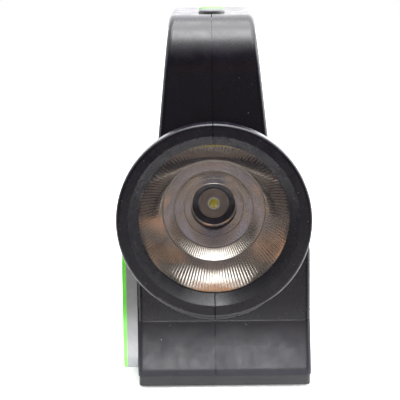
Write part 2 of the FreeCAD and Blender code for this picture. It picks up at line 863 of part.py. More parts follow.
def left_wall_holes():
    """Holes in the left wall for the side lamp's screws and leads."""
    s = sizes
    start, end = -s.body_left - 1, -s.body_left + s.wall + 1
    screw_hole, lead_hole = 1.5, 3
    holes = [across(screw_hole, start, end, y, z) for y, z in panel_screw_places()]
    return holes + [across(lead_hole, start, end, *side_lead_place())]


def indicator_holes():
    """Holes in the rear wall for the charge indicators' light pipes."""
    s = sizes
    fit = 0.05
    start = s.body_back - s.jack_pad_depth
    return [
        cylinder(Y_AXIS, s.indicator_radius + fit, start, s.body_back + 1, Vector(x, 0, z))
        for x, z in indicator_places()
    ]


def build_shells():
    """The two half shells: the right one with the tongue, screw wells and jack, the left one with pilots."""
    s = sizes
    outer = outer_form()
    hollow = inner_form(s.wall)
    housing = outer.cut(hollow.fuse(lens_seat()))
    tongue_room = inner_form(s.wall / 2).cut(hollow)
    tongue = tongue_room.common(block((-s.tongue, s.seam), (-FAR, FAR), (s.shell_bottom, FAR)))
    inner_walls = cradle_ribs(outer) + shelves(outer)
    right_side = block((s.seam, FAR), (-FAR, FAR), (0, FAR))
    left_side = block((-FAR, -s.seam), (-FAR, FAR), (0, FAR))

    bosses = [across(s.boss_radius, s.seam, FAR / 2, y, z) for y, z in shell_screw_places()]
    right = housing.common(right_side).fuse(tongue)
    right = right.fuse(Part.makeCompound(bosses).common(outer).Solids)
    right = right.fuse(posts_on("right") + [jack_block()] + [w.common(right_side) for w in inner_walls])
    openings = [jack_cuts(), right_recess(), button_openings()]
    right = right.cut(right_screw_holes() + upright_holes() + indicator_holes() + openings)

    left_boss_radius, pilot_depth = s.boss_radius - 0.6, 15
    bosses = [across(left_boss_radius, -FAR / 2, -s.seam, y, z) for y, z in shell_screw_places()]
    pilots = [across(s.pilot_radius, -pilot_depth, 0, y, z) for y, z in shell_screw_places()]
    left = housing.common(left_side)
    left = left.fuse(Part.makeCompound(bosses).common(outer).Solids)
    left = left.fuse(posts_on("left") + [w.common(left_side) for w in inner_walls])
    left = left.cut(pilots + upright_holes() + left_wall_holes() + [tongue, button_openings()])

    feature("right_shell", whole(right))
    feature("left_shell", whole(left))


def whole(shape):
    """The single solid of a shell; a shell in several pieces is an error."""
    solids = sorted(shape.removeSplitter().Solids, key=lambda solid: solid.Volume)
    crumbs = sum(solid.Volume for solid in solids[:-1])
    if crumbs > 1.0:
        raise ValueError(f"loose pieces of {crumbs:.2f} cubic millimetres")
    return solids[-1]


def side_lead_place():
    """Where the side lamp's leads pass the left wall, as (y, z)."""
    return sizes.board_front + 30, sizes.shoulder_height - 18


# ---------------------------------------------------------------- base


def build_base():
    """Cover plate with a locating rim, and the anti-slip pad between its two rows of screws."""
    front, back = "dims.toe_front + dims.cover_gap", "dims.body_back - dims.cover_gap"
    corner_round, rim_height = "3", "2.4"

    cover = new_body("base_cover")
    plate = sketch_on(cover, "cover_plate", "XY_Plane", "dims.pad_thickness")
    cover_x = ("-dims.body_left + dims.cover_gap", "dims.body_right - dims.cover_gap")
    add_rectangle(plate, cover_x, (front, back))
    pad(cover, plate, "dims.shell_bottom - dims.pad_thickness")
    round_edges(cover, corner_round, is_along(Z_AXIS))
    rim = sketch_on(cover, "cover_rim", "XY_Plane", "dims.shell_bottom")
    for inset in ("(dims.wall + 0.3)", "(dims.wall + 1.9)"):
        add_rectangle(
            rim,
            (f"-dims.body_left + {inset}", f"dims.body_right - {inset}"),
            (f"dims.toe_front + {inset}", f"dims.body_back - {inset}"),
        )
    pad(cover, rim, rim_height)
    cuts = [
        ("head_rooms", "dims.pad_thickness", "dims.cover_head_room", "dims.cover_head_depth"),
        ("shank_holes", "dims.pad_thickness", "dims.cover_shank_room", "dims.shell_bottom"),
        ("post_reliefs", "dims.shell_bottom", "dims.post_radius + 0.3", rim_height),
    ]
    for name, level, radius, depth in cuts:
        holes = sketch_on(cover, name, "XY_Plane", level)
        for x, y in post_places():
            add_circle(holes, f"{x}", f"{y}", radius)
        pocket(cover, holes, depth, reverse=True)

    grip = new_body("base_pad")
    sheet_face = sketch_on(grip, "pad_sheet", "XY_Plane")
    pad_x = ("-dims.body_left + dims.pad_side_inset", "dims.body_right - dims.pad_side_inset")
    add_rectangle(sheet_face, pad_x, (f"{front} + dims.pad_end_inset", f"{back} - dims.pad_end_inset"))
    pad(grip, sheet_face, "dims.pad_thickness")
    round_edges(grip, corner_round, is_along(Z_AXIS))
    grooves = sketch_on(grip, "pad_grooves", "XY_Plane")
    groove_count, groove_pitch, groove_width, groove_inset, groove_depth = 6, 14.0, 1.6, 6, "0.7"
    for i in range(groove_count):
        y = (i - (groove_count - 1) / 2) * groove_pitch
        add_rectangle(
            grooves,
            (f"{pad_x[0]} + {groove_inset}", f"{pad_x[1]} - {groove_inset}"),
            (f"{y}", f"{y + groove_width}"),
        )
    pocket(grip, grooves, groove_depth, reverse=True)


# ---------------------------------------------------------------- screws


def screw(head_radius, head_height, shank_radius, length, tip, direction):
    """Pan-head screw with a cross recess; tip is under the head and direction points down the shank."""
    head = Part.makeCylinder(head_radius, head_height, Vector(), Z_AXIS)
    head = head.makeFillet(head_height * 0.45, [e for e in head.Edges if at_level(Z_AXIS, head_height)(e)])
    shank = Part.makeCylinder(shank_radius, length, Vector(0, 0, -length), Z_AXIS)
    shank = shank.makeChamfer(shank_radius * 0.45, [e for e in shank.Edges if at_level(Z_AXIS, -length)(e)])
    arm, slot = head_radius * 0.55, head_radius * 0.11
    recess = block((-arm, arm), (-slot, slot), (head_height * 0.35, head_height + 1))
    crossing = block((-slot, slot), (-arm, arm), (head_height * 0.35, head_height + 1))
    solid = head.fuse(shank).cut(recess.fuse(crossing)).removeSplitter()
    solid.Placement = Placement(tip, Rotation(-Z_AXIS, direction))
    return solid


def screw_set(label, head, shank, places):
    """Identical screws on one node; head and shank are (radius, length), places are (seat, direction)."""
    screws = [screw(*head, *shank, Vector(*seat), direction) for seat, direction in places]
    feature(label, Part.makeCompound(screws))


def build_screws():
    """All screws, grouped by kind."""
    s = sizes
    shell_seats = [((s.head_seat, y, z), -X_AXIS) for y, z in shell_screw_places()]
    screw_set("shell_screws", (s.head_radius, 2.4), (s.shank_radius, 19.5), shell_seats)
    cover_seats = [((x, y, s.pad_thickness + s.cover_head_depth), Z_AXIS) for x, y in post_places()]
    screw_set("base_screws", (2.6, 1.8), (1.25, 10.5), cover_seats)
    wall_seats = [((-s.body_left + s.wall, y, z), -X_AXIS) for y, z in panel_screw_places()]
    screw_set("side_frame_screws", (2.4, 1.7), (1.1, 6.6), wall_seats)
    board_seats = [((x, y, top), -Z_AXIS) for x, y, top in board_screw_places()]
    screw_set("board_screws", (1.7, 1.2), (0.8, s.board_screw_length), board_seats)


# ---------------------------------------------------------------- front light


def build_front_lens():
    lens_front = "dims.bezel_front + dims.lens_recess"
    lens_back = f"{lens_front} + dims.lens_thickness"
    gasket_back = f"{lens_back} + dims.gasket_thickness"
    lens = rod("front_lens", "y", "dims.lens_radius", lens_front, lens_back, z="dims.axis_height")
    keep(lens, "front_lens")
    ring = rod("gasket_ring", "y", "dims.lens_radius", lens_back, gasket_back, z="dims.axis_height")
    bore = rod("gasket_bore", "y", "dims.lens_window + 0.2", lens_back, gasket_back, z="dims.axis_height")
    keep(cut("lens_gasket", ring, bore), "lens_gasket")


def build_reflector():
    """Deep stepped reflector: four parabolic zones with ledges, a neck, and a floor with a hole."""
    s = sizes
    flange_front = s.bezel_front + s.lens_recess + s.lens_thickness + s.gasket_thickness
    flange_back = flange_front + s.flange_thickness
    zone_ends = [26.8, 20.9, 15.8, s.reflector_neck]
    steps_per_zone = 6
    y, radius = flange_front, s.lens_window
    inside = [(y, radius)]
    for end in zone_ends:
        for i in range(1, steps_per_zone + 1):
            r = radius + (end - radius) * i / steps_per_zone
            inside.append((y + (radius**2 - r**2) / (4 * s.reflector_focus), r))
        y = inside[-1][0]
        is_last = end == zone_ends[-1]
        radius = end if is_last else end - s.reflector_step
        if not is_last:
            inside.append((y, radius))
    floor_front = s.reflector_back - s.reflector_floor
    inside += [(floor_front, s.reflector_neck), (floor_front, s.reflector_hole)]
    inside += [(s.reflector_back, s.reflector_hole)]

    vertex = flange_front + s.lens_window**2 / (4 * s.reflector_focus)
    wall_along_y = 3.3
    outside = [(s.reflector_back, s.reflector_neck + s.reflector_wall)]
    for r in (19, 24, 29, 34):
        outside.append((vertex - r**2 / (4 * s.reflector_focus) + wall_along_y, r))
    flange_radius = s.lens_radius + 1.8
    outside += [(flange_back, s.lens_radius - 1), (flange_back, flange_radius)]
    outside += [(flange_front, flange_radius)]

    body = new_body("reflector")
    sketch = sketch_on(body, "reflector_section", "YZ_Plane")
    corners = [(f"{y}", f"dims.axis_height + {r}") for y, r in inside + outside]
    add_polygon(sketch, corners)
    turn_about(body, sketch, "dims.axis_height")


def build_light_engine():
    """Board, centring plate, light source, insulator and heat sink behind the reflector."""
    axis = "dims.axis_height"
    board_back = "dims.sink_front"
    board_front = f"{board_back} - dims.board_thickness"
    lead_drop, lead_room = 9, 3.2

    board = rod("front_board_disc", "y", "dims.led_board_radius", board_front, board_back, z=axis)
    notches = [
        rod(f"board_notch_{i}", "y", "1.6", f"{board_front} - 1", f"{board_back} + 1", x=f"{x}", z=axis)
        for i, x in enumerate((-10.5, 10.5))
    ]
    keep(cut("front_led_board", board, join("front_board_notches", *notches)), "front_led_board")

    holder_front = f"{board_front} - 1.4"
    disc = rod("holder_disc", "y", "dims.holder_radius", holder_front, board_front, z=axis)
    between = box(
        "holder_flats",
        ("-dims.holder_flat", "dims.holder_flat"),
        (holder_front, board_front),
        (f"{axis} - 10", f"{axis} + 10"),
    )
    plate = common("holder_plate", disc, between)
    seat_y = (f"{holder_front} - 1", f"{board_front} + 1")
    seat = rod("holder_seat", "y", "dims.emitter_radius + 0.1", *seat_y, z=axis)
    keep(cut("led_holder", plate, seat), "led_holder")

    package_front = f"{board_front} - 2"
    package = rod("emitter_package", "y", "dims.emitter_radius", package_front, board_front, z=axis)
    dome = doc.addObject("Part::Sphere", "emitter_dome")
    bind(dome, Radius="dims.dome_radius")
    place(dome, "0", package_front, axis)
    back_y, back_z = (package_front, f"{board_front} + 5"), (f"{axis} - 5", f"{axis} + 5")
    behind = box("emitter_dome_back", ("-5", "5"), back_y, back_z)
    keep(join("led_emitter", package, cut("emitter_front", dome, behind)), "led_emitter")

    ring = rod("insulator_ring", "y", "11.8", "dims.reflector_back", board_front, z=axis)
    bore = rod("insulator_bore", "y", "8.8", "dims.reflector_back - 1", f"{board_front} + 1", z=axis)
    keep(cut("led_insulator", ring, bore), "led_insulator")

    sink = new_body("heat_sink")
    disc_face = sketch_on(sink, "sink_disc", "XZ_Plane", "-dims.sink_front")
    add_circle(disc_face, "0", axis, "dims.sink_radius")
    pad(sink, disc_face, "dims.sink_length", reverse=True)
    slots = sketch_on(sink, "fin_slots", "XZ_Plane", "-dims.sink_front - dims.sink_length")
    slot_count, slot_pitch, slot_width = 5, 7.4, 4.4
    for i in range(slot_count):
        x = (i - (slot_count - 1) / 2) * slot_pitch
        add_rectangle(
            slots,
            (f"{x - slot_width / 2}", f"{x + slot_width / 2}"),
            (f"{axis} - dims.sink_radius - 2", f"{axis} + dims.sink_radius + 2"),
        )
    pocket(sink, slots, "dims.sink_length - 5", reverse=True)
    lead_hole = sketch_on(sink, "sink_lead_hole", "XZ_Plane", "-dims.sink_front - dims.sink_length")
    add_circle(lead_hole, "0", f"{axis} - {lead_drop}", f"{lead_room}")
    pocket(sink, lead_hole, "50", reverse=True)


# ---------------------------------------------------------------- side lamp


def side_source_places():
    """Centres of the side lamp's light sources, as (y, z)."""
    s = sizes
    count = 9
    rows = s.side_source_low, s.side_source_high
    return [(s.side_source_first + i * s.side_source_pitch, z) for z in rows for i in range(count)]


def build_side_lamp():
    """Tray with a rim, source board, white reflector plate, lens and crowned outer rim on the left wall."""
    s = sizes
    wall_face = -s.body_left
    frame_front = wall_face - s.panel_depth
    tray_floor = wall_face - 1.5
    rebate, rebate_depth, fit = 1.6, 0.6, 0.2
    screws = panel_screw_places()
    board_back = wall_face - s.side_board_lift
    board_front = board_back - s.side_board_thickness

    frame = prism(panel_face(0), X_AXIS, frame_front, wall_face)
    well = prism(panel_face(s.panel_rim), X_AXIS, frame_front - 1, tray_floor)
    lens_rebate = prism(panel_face(rebate), X_AXIS, frame_front - 1, frame_front + rebate_depth)
    frame = frame.cut([well, lens_rebate])
    shoulders = [across(4.4, board_back, tray_floor + 0.5, y, z) for y, z in screws]
    posts = [across(3.0, board_front - 0.8, tray_floor + 0.5, y, z) for y, z in screws]
    frame = frame.fuse(shoulders + posts)
    pilots = [across(1.15, board_front - 0.1, wall_face + 1, y, z) for y, z in screws]
    lead_hole = across(3, tray_floor - 1, wall_face + 1, *side_lead_place())
    feature("side_frame", frame.cut(pilots + [lead_hole]).removeSplitter())

    rim_front = frame_front - s.trim_depth
    rim = prism(panel_face(0), X_AXIS, rim_front, frame_front)
    window = prism(panel_face(s.trim_width), X_AXIS, rim_front - 1, frame_front + 1)
    lens_front = frame_front + rebate_depth - s.side_lens_thickness
    lens_room = prism(panel_face(rebate), X_AXIS, lens_front, frame_front + 1)
    rim = rim.cut([window, lens_room])
    crown_middle = Vector(rim_front + s.trim_crown, 0, s.shell_bottom + 45)
    crown = cylinder(Y_AXIS, s.trim_crown, -FAR, FAR, crown_middle)
    feature("side_trim", rim.common(crown).removeSplitter())

    lens = prism(panel_face(rebate + fit), X_AXIS, lens_front, lens_front + s.side_lens_thickness)
    feature("side_lens", lens)

    board_edge = s.panel_rim + 0.4
    board = prism(panel_face(board_edge), X_AXIS, board_front, board_back)
    post_rooms = [across(3.3, board_front - 3, board_back + 1, y, z) for y, z in screws]
    feature("side_led_board", board.cut(post_rooms))

    plate_front = board_front - 0.8
    plate = prism(panel_face(board_edge + 0.4), X_AXIS, plate_front, board_front)
    half_window = s.side_source_size / 2 + 1.2
    through = (plate_front - 1, board_front + 1)
    windows = [
        block(through, (y - half_window, y + half_window), (z - half_window, z + half_window))
        for y, z in side_source_places()
    ]
    feature("side_reflector", plate.cut(windows + post_rooms))

    source_front = f"{board_front} - dims.side_source_height"
    half = "dims.side_source_size / 2"
    sources = [
        box(
            f"side_source_{i}",
            (source_front, f"{board_front}"),
            (f"{y} - {half}", f"{y} + {half}"),
            (f"{z} - {half}", f"{z} + {half}"),
        )
        for i, (y, z) in enumerate(side_source_places())
    ]
    keep(group_of("side_leds", sources), "side_leds")


# ---------------------------------------------------------------- battery, boards


def build_battery():
    """Sealed battery with a terminal well, its two tabs, and the foam strips that hold it."""
    x = ("dims.battery_left", "dims.battery_left + dims.battery_width")
    y = ("dims.battery_front", "dims.battery_front + dims.battery_length")
    top = "dims.battery_base + dims.battery_height"
    well_depth, tab_line = "1.5", "dims.battery_front + 20"
    battery = new_body("battery")
    case = sketch_on(battery, "battery_case", "XY_Plane", "dims.battery_base")
    add_rectangle(case, x, y)
    pad(battery, case, "dims.battery_height")
    round_edges(battery, "1.2", is_along(Z_AXIS))
    well = sketch_on(battery, "terminal_well", "XY_Plane", top)
    add_rectangle(well, (f"{x[0]} + 14", f"{x[1]} - 10"), (f"{tab_line} - 6", f"{tab_line} + 6"))
    pocket(battery, well, well_depth)

    tab_half_width, tab_half_thickness = 3.15, 0.4
    tabs = []
    for i, side in enumerate(terminal_sides()):
        tabs.append(
            box(
                f"tab_{i}",
                (f"{side - tab_half_width}", f"{side + tab_half_width}"),
                (f"{tab_line} - {tab_half_thickness}", f"{tab_line} + {tab_half_thickness}"),
                (f"{top} - {well_depth}", f"{top} + dims.tab_height"),
            )
        )
    keep(group_of("battery_terminals", tabs), "battery_terminals")
    build_foam(x, y, top)


def build_foam(x, y, top):
    """Foam strips under the board shelves, on the battery's top, and under the battery."""
    strip_width, strip_length, low_strip_length, inset = 12, 6, 12, 6
    shelf_tip = f"(dims.board_width / 2 - {SHELF_REACH})"
    strips = []
    board_back = "dims.board_front + dims.board_length"
    front_row = ("dims.board_front", f"dims.board_front + {strip_length}")
    rows = [front_row, (f"{board_back} - {strip_length}", board_back)]
    above = (top, "dims.board_height - dims.shelf_thickness")
    for i, row in enumerate(rows):
        right = (shelf_tip, f"{shelf_tip} + {strip_width}")
        left = (f"-{shelf_tip} - {strip_width - 4}", f"-{shelf_tip}")
        strips.append(box(f"top_strip_right_{i}", right, row, above))
        strips.append(box(f"top_strip_left_{i}", left, row, above))
    below = ("dims.shell_bottom", "dims.battery_base")
    for i, offset in enumerate((12, 76)):
        row = (f"{y[0]} + {offset}", f"{y[0]} + {offset + low_strip_length}")
        strips.append(box(f"bottom_strip_{i}", (f"{x[0]} + {inset}", f"{x[1]} - {inset}"), row, below))
    keep(group_of("battery_foam", strips), "battery_foam")


def terminal_sides():
    """The battery's tabs, along X."""
    return -10.0, 20.0


def drilled_board(label, x, y, underside, holes):
    """Circuit board with screw holes; sizes and places are expressions."""
    board = new_body(label)
    outline = sketch_on(board, f"{label}_outline", "XY_Plane", underside)
    add_rectangle(outline, x, y)
    for place_x, place_y in holes:
        add_circle(outline, f"{place_x}", f"{place_y}", "dims.board_pilot + 0.15")
    pad(board, outline, "dims.board_thickness")


def build_boards():
    """Control board with its components, and the switch board with its two tact switches."""
    screws = board_screw_places()
    control_holes = [(x, y) for x, y, top in screws if top < sizes.switch_board_height]
    switch_holes = [(x, y) for x, y, top in screws if top > sizes.switch_board_height]
    board_x = ("-dims.board_width / 2", "dims.board_width / 2")
    board_y = ("dims.board_front", "dims.board_front + dims.board_length")
    drilled_board("main_board", board_x, board_y, "dims.board_height", control_holes)

    top = "dims.board_height + dims.board_thickness"
    blocks = [
        ("relay", (-17, -2), (22, 38), 11),
        ("controller", (-4, 4), (2, 12), 2),
        ("driver", (-16, -8), (4, 12), 3),
        ("coil", (7, 17), (18, 28), 5),
    ]
    cans = [("charge_capacitor", 10, 36, 4, 12), ("output_capacitor", 0, 44, 2.5, 8)]
    parts = [
        box(name, (f"{x[0]}", f"{x[1]}"), (f"{y[0]}", f"{y[1]}"), (top, f"{top} + {height}"))
        for name, x, y, height in blocks
    ]
    parts += [
        rod(name, "z", f"{radius}", top, f"{top} + {height}", x=f"{x}", y=f"{y}")
        for name, x, y, radius, height in cans
    ]
    keep(group_of("board_components", parts), "board_components")

    ends = switch_ledge_places()
    end_margin = 2
    drilled_board(
        "switch_board",
        ("-9", "9"),
        (f"{ends[0] - end_margin}", f"{ends[1] + end_margin}"),
        "dims.switch_board_height",
        switch_holes,
    )
    build_switches()


def build_switches():
    """Tact switches on the switch board: square cases, each with a round plunger."""
    board_top = "dims.switch_board_height + dims.board_thickness"
    case_top = f"{board_top} + dims.switch_case_height"
    case_half, bore_floor, plunger_floor, fit = 3.1, 1.2, 2.6, 0.05
    cases = []
    for name, middle in (("main", "dims.main_button_place"), ("side", "dims.side_button_place")):
        case_x = (f"-{case_half}", f"{case_half}")
        case_y = (f"{middle} - {case_half}", f"{middle} + {case_half}")
        case = box(f"{name}_switch_case", case_x, case_y, (board_top, case_top))
        bore_radius = f"dims.plunger_radius + {fit}"
        bore_z = (f"{board_top} + {bore_floor}", f"{case_top} + 1")
        bore = rod(f"{name}_switch_bore", "z", bore_radius, *bore_z, y=middle)
        cases.append(cut(f"{name}_switch", case, bore))
        low, high = f"{board_top} + {plunger_floor}", f"{case_top} + dims.plunger_proud"
        plunger = rod(f"{name}_plunger", "z", "dims.plunger_radius", low, high, y=middle)
        keep(plunger, f"{name}_plunger")
    keep(group_of("switch_bodies", cases), "switch_bodies")


# ---------------------------------------------------------------- buttons


def build_button(label, middle, half_length):
    """Push button: oval cap, a wider collar under the grip and a stem on the switch's plunger."""
    s = sizes
    collar_gap, collar_thickness, collar_reach, top_round, stem_radius = 0.3, 1.4, 1.5, 1.0, 2.2
    collar_top = s.handle_top - s.wall - collar_gap
    cap_top = s.handle_top + s.button_proud
    stem_bottom = s.switch_board_height + s.board_thickness + s.switch_case_height + s.plunger_proud
    cap = button_oval(middle, half_length, 0, collar_top - 0.5, cap_top)
    cap = cap.makeFillet(top_round, [e for e in cap.Edges if at_level(Z_AXIS, cap_top)(e)])
    collar = button_oval(middle, half_length, collar_reach, collar_top - collar_thickness, collar_top)
    stem = cylinder(Z_AXIS, stem_radius, stem_bottom, collar_top, Vector(0, middle, 0))
    feature(label, cap.fuse([collar, stem]).removeSplitter())


# ---------------------------------------------------------------- charging jack


def build_jack():
    """Charging jack: stepped barrel with a flange, square case, centre contact and solder tabs."""
    x, z = "dims.jack_place", "dims.jack_height"
    recess_floor = f"dims.body_back - {JACK_RECESS}"
    pad_face = "dims.body_back - dims.jack_pad_depth"
    flange_back, case_back, tab_back = f"{pad_face} - 2", f"{pad_face} - 9", f"{pad_face} - 12"
    barrel = rod("jack_barrel", "y", f"{JACK_BARREL}", pad_face, f"{recess_floor} - 0.2", x=x, z=z)
    flange = rod("jack_flange", "y", "6", flange_back, pad_face, x=x, z=z)
    case_x, case_z = (f"{x} - 4.5", f"{x} + 4.5"), (f"{z} - 4.5", f"{z} + 4.5")
    case = box("jack_case", case_x, (case_back, flange_back), case_z)
    socket = rod("jack_socket", "y", "2.75", f"{pad_face} - 6", f"{recess_floor} + 1", x=x, z=z)
    contact = rod("jack_contact", "y", "0.65", f"{pad_face} - 6.5", f"{recess_floor} - 1.5", x=x, z=z)
    tab_half_width, tab_half_thickness = 1.2, 0.3
    tabs = [
        box(
            f"jack_tab_{i}",
            (f"{x} + {side} - {tab_half_width}", f"{x} + {side} + {tab_half_width}"),
            (tab_back, f"{case_back} + 0.1"),
            (f"{z} - {tab_half_thickness}", f"{z} + {tab_half_thickness}"),
        )
        for i, side in enumerate(jack_tab_sides())
    ]
    shell = cut("jack_body", join("jack_solid", barrel, flange, case), socket)
    keep(join("charge_jack", shell, contact, *tabs), "charge_jack")


def jack_tab_sides():
    """The jack's solder tabs, along X from its axis."""
    return -sizes.jack_tab_side, sizes.jack_tab_side


def build_jack_door():
    """Hinged door over the jack, with a finger lip, and its steel pin."""
    s = sizes
    middle, pin_y, pin_z = s.jack_place, s.door_pin_back, s.door_pin_height
    thickness, corner_round, knuckle_radius, pin_fit = 2.1, 2.0, 1.7, 0.05
    width = (middle - s.door_half_width, middle + s.door_half_width)
    low, back = pin_z - s.door_drop, s.body_back
    leaf = block(width, (back - thickness, back), (low, pin_z))
    lower_corners = [e for e in leaf.Edges if is_along(Y_AXIS)(e) and e.BoundBox.ZMax < pin_z - 1]
    leaf = leaf.makeFillet(corner_round, lower_corners)
    knuckle = across(knuckle_radius, *width, pin_y, pin_z)
    lip_half_width, lip_back, lip_round = 4, back + 1.2, 0.5
    lip_x = (middle - lip_half_width, middle + lip_half_width)
    lip = block(lip_x, (back - 0.5, lip_back), (low + 0.5, low + 2.3))
    lip = lip.makeFillet(lip_round, [e for e in lip.Edges if at_level(Y_AXIS, lip_back)(e)])
    bore = across(s.door_pin_radius + pin_fit, width[0] - 1, width[1] + 1, pin_y, pin_z)
    feature("jack_door", leaf.fuse([knuckle, lip]).cut(bore).removeSplitter())

    ends = (f"dims.jack_place - {PIN_HALF_LENGTH}", f"dims.jack_place + {PIN_HALF_LENGTH}")
    where = {"y": "dims.door_pin_back", "z": "dims.door_pin_height"}
    keep(rod("door_pin", "x", "dims.door_pin_radius", *ends, **where), "jack_door_pin")


def build_indicators():
    """Two light pipes above the jack door, each with a collar against the rear wall."""
    wall_inside = "dims.body_back - dims.wall"
    collar_radius, proud = "2.6", "0.3"
    collar_start, stem_start = f"{wall_inside} - 1.5", f"{wall_inside} - 3"
    pipes = []
    for i, (place_x, place_z) in enumerate(indicator_places()):
        where = {"x": f"{place_x}", "z": f"{place_z}"}
        stem_y = (stem_start, f"dims.body_back + {proud}")
        stem = rod(f"pipe_{i}", "y", "dims.indicator_radius", *stem_y, **where)
        collar = rod(f"pipe_collar_{i}", "y", collar_radius, collar_start, wall_inside, **where)
        pipes.append(join(f"indicator_{i}", stem, collar))
    keep(group_of("charge_indicators", pipes), "charge_indicators")


# ---------------------------------------------------------------- leads


def lead(points, bend=2.5):
    """One insulated lead: straight runs joined by tangent arcs, swept whole from a round section."""
    radius = sizes.wire_radius
    path = [Vector(*p) for p in points]
    edges = []
    start = path[0]
    for i in range(1, len(path) - 1):
        back, ahead = (path[i - 1] - path[i]).normalize(), (path[i + 1] - path[i]).normalize()
        half_turn = (math.pi - back.getAngle(ahead)) / 2
        reach = bend * math.tan(half_turn)
        arc_start, arc_end = path[i] + back * reach, path[i] + ahead * reach
        inward = (back + ahead).normalize()
        middle = path[i] + inward * (bend / math.cos(half_turn) - bend)
        edges.append(Part.LineSegment(start, arc_start).toShape())
        edges.append(Part.Arc(arc_start, middle, arc_end).toShape())
        start = arc_end
    edges.append(Part.LineSegment(start, path[-1]).toShape())
    spine = Part.Wire(edges)
    section = Part.Wire(Part.makeCircle(radius, path[0], path[1] - path[0]))
    solid = spine.makePipeShell([section], True, False)
    expected = math.pi * radius**2 * spine.Length
    if abs(solid.Volume - expected) > 0.01 * expected:
        raise ValueError(f"lead volume {solid.Volume:.2f} is not {expected:.2f}")
    return solid


def lead_set(label, paths, bend=2.5):
    """Several insulated leads on one node."""
    feature(label, Part.makeCompound([lead(path, bend) for path in paths]))


def build_leads():
    """Leads from the battery, the lights, the switches and the jack to the control board."""
    s = sizes
    board_top = s.board_height + s.board_thickness
    tab_y, tab_top, landing_y = s.battery_front + 20, s.battery_base + s.battery_height + s.tab_height, -8
    battery_bend = board_top + 6
    lead_set(
        "battery_leads",
        [
            [
                (x, tab_y, tab_top),
                (x, tab_y, battery_bend),
                (x, landing_y, battery_bend),
                (x, landing_y, board_top),
            ]
            for x in terminal_sides()
        ],
    )

    hole_z, front_landing, half_pitch = s.axis_height - 9, -6, 1.4
    lead_set(
        "front_leads",
        [
            [(x, s.sink_front, hole_z), (x, front_landing, hole_z), (x, front_landing, board_top)]
            for x in (-half_pitch, half_pitch)
        ],
    )

    side_y, side_z = side_lead_place()
    board_back, rise_x, landing_x, over = -s.body_left - s.side_board_lift, -30, -20, board_top + 5
    lead_set(
        "side_leads",
        [
            [
                (board_back, y, side_z),
                (rise_x, y, side_z),
                (rise_x, y, over),
                (landing_x, y, over),
                (landing_x, y, board_top),
            ]
            for y in (side_y - 1.1, side_y + 1.1)
        ],
        bend=2.0,
    )

    lead_set("switch_leads", [switch_lead_path(x) for x in (8.0, 10.2, 12.4, 14.6)])

    tab_end, jack_over, jack_landing = s.body_back - s.jack_pad_depth - 10.6, board_top + 7, 42
    lead_set(
        "jack_leads",
        [
            [
                (s.jack_place + side, tab_end, s.jack_height + 0.3),
                (s.jack_place + side, tab_end, jack_over),
                (s.jack_place + side, jack_landing, jack_over),
                (s.jack_place + side, jack_landing, board_top),
            ]
            for side in jack_tab_sides()
        ],
    )


def switch_lead_path(x):
    """From the switch board, down the front strut past its screw boss, to the control board."""
    s = sizes
    board_top = s.board_height + s.board_thickness
    above, boss_z = s.switch_board_height, s.axis_height + 40
    return [
        (x, -13, above),
        (x, -13, above - 7),
        (x, -28, above - 7),
        (x, -33.5, boss_z),
        (x, -31, boss_z - 10),
        (x, -22, boss_z - 20),
        (x, -22, board_top + 8),
        (x, -10, board_top + 8),
        (x, -10, board_top),
    ]


build_shells()
build_base()
build_screws()
build_front_lens()
build_reflector()
build_light_engine()
build_side_lamp()
build_battery()
build_boards()
for button in button_places():
    build_button(*button)
build_jack()
build_jack_door()
build_indicators()
build_leads()


# ---------------------------------------------------------------- checks and files


def check_document():
    """Stops on any feature in error and on any sub-part that is empty or unsound."""
    doc.recompute()
    for item in doc.Objects:
        if {"Invalid", "Error"} & set(item.State):
            raise ValueError(f"{item.Name} is in error")
    for label, item in shapes.items():
        if item.Shape.isNull() or not item.Shape.isValid() or not item.Shape.Solids:
            raise ValueError(f"{label} has no sound solid")


def write_parts():
    os.makedirs(PARTS_FOLDER, exist_ok=True)
    for label, item in shapes.items():
        item.Shape.exportStep(f"{PARTS_FOLDER}/{label}.step")


check_document()
write_parts()
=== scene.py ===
"""Looks for the signal searchlight: materials, fine detail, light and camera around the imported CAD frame."""

import json
import math

import bmesh
import bpy
from mathutils import Matrix, Vector


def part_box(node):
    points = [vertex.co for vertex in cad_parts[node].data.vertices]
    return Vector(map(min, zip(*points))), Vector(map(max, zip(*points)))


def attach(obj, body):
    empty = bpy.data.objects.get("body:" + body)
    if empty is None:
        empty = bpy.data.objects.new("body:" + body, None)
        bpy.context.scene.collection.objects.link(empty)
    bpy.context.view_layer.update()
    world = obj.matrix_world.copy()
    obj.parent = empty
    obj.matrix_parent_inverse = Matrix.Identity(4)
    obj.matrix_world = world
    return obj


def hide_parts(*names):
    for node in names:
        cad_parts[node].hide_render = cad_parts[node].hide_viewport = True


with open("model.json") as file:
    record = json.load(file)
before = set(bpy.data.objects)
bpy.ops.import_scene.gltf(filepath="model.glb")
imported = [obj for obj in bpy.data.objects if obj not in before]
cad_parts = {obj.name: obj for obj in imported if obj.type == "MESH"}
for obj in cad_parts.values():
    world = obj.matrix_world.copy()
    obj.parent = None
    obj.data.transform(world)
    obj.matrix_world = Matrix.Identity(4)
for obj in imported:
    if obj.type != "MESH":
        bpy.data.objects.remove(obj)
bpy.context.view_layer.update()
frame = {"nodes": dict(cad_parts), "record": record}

MM = 0.001
WHITE = (1.0, 1.0, 1.0)
NODES = frame["nodes"]

# ---------------------------------------------------------------- places taken from the frame

LENS_LOW, LENS_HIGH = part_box("front_lens")
MIRROR_LOW, MIRROR_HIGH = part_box("reflector")
HEAD_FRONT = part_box("right_shell")[0].y
BOARD_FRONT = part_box("front_led_board")[0].y
AXIS_HEIGHT = (LENS_LOW.z + LENS_HIGH.z) / 2


# ---------------------------------------------------------------- shader helpers

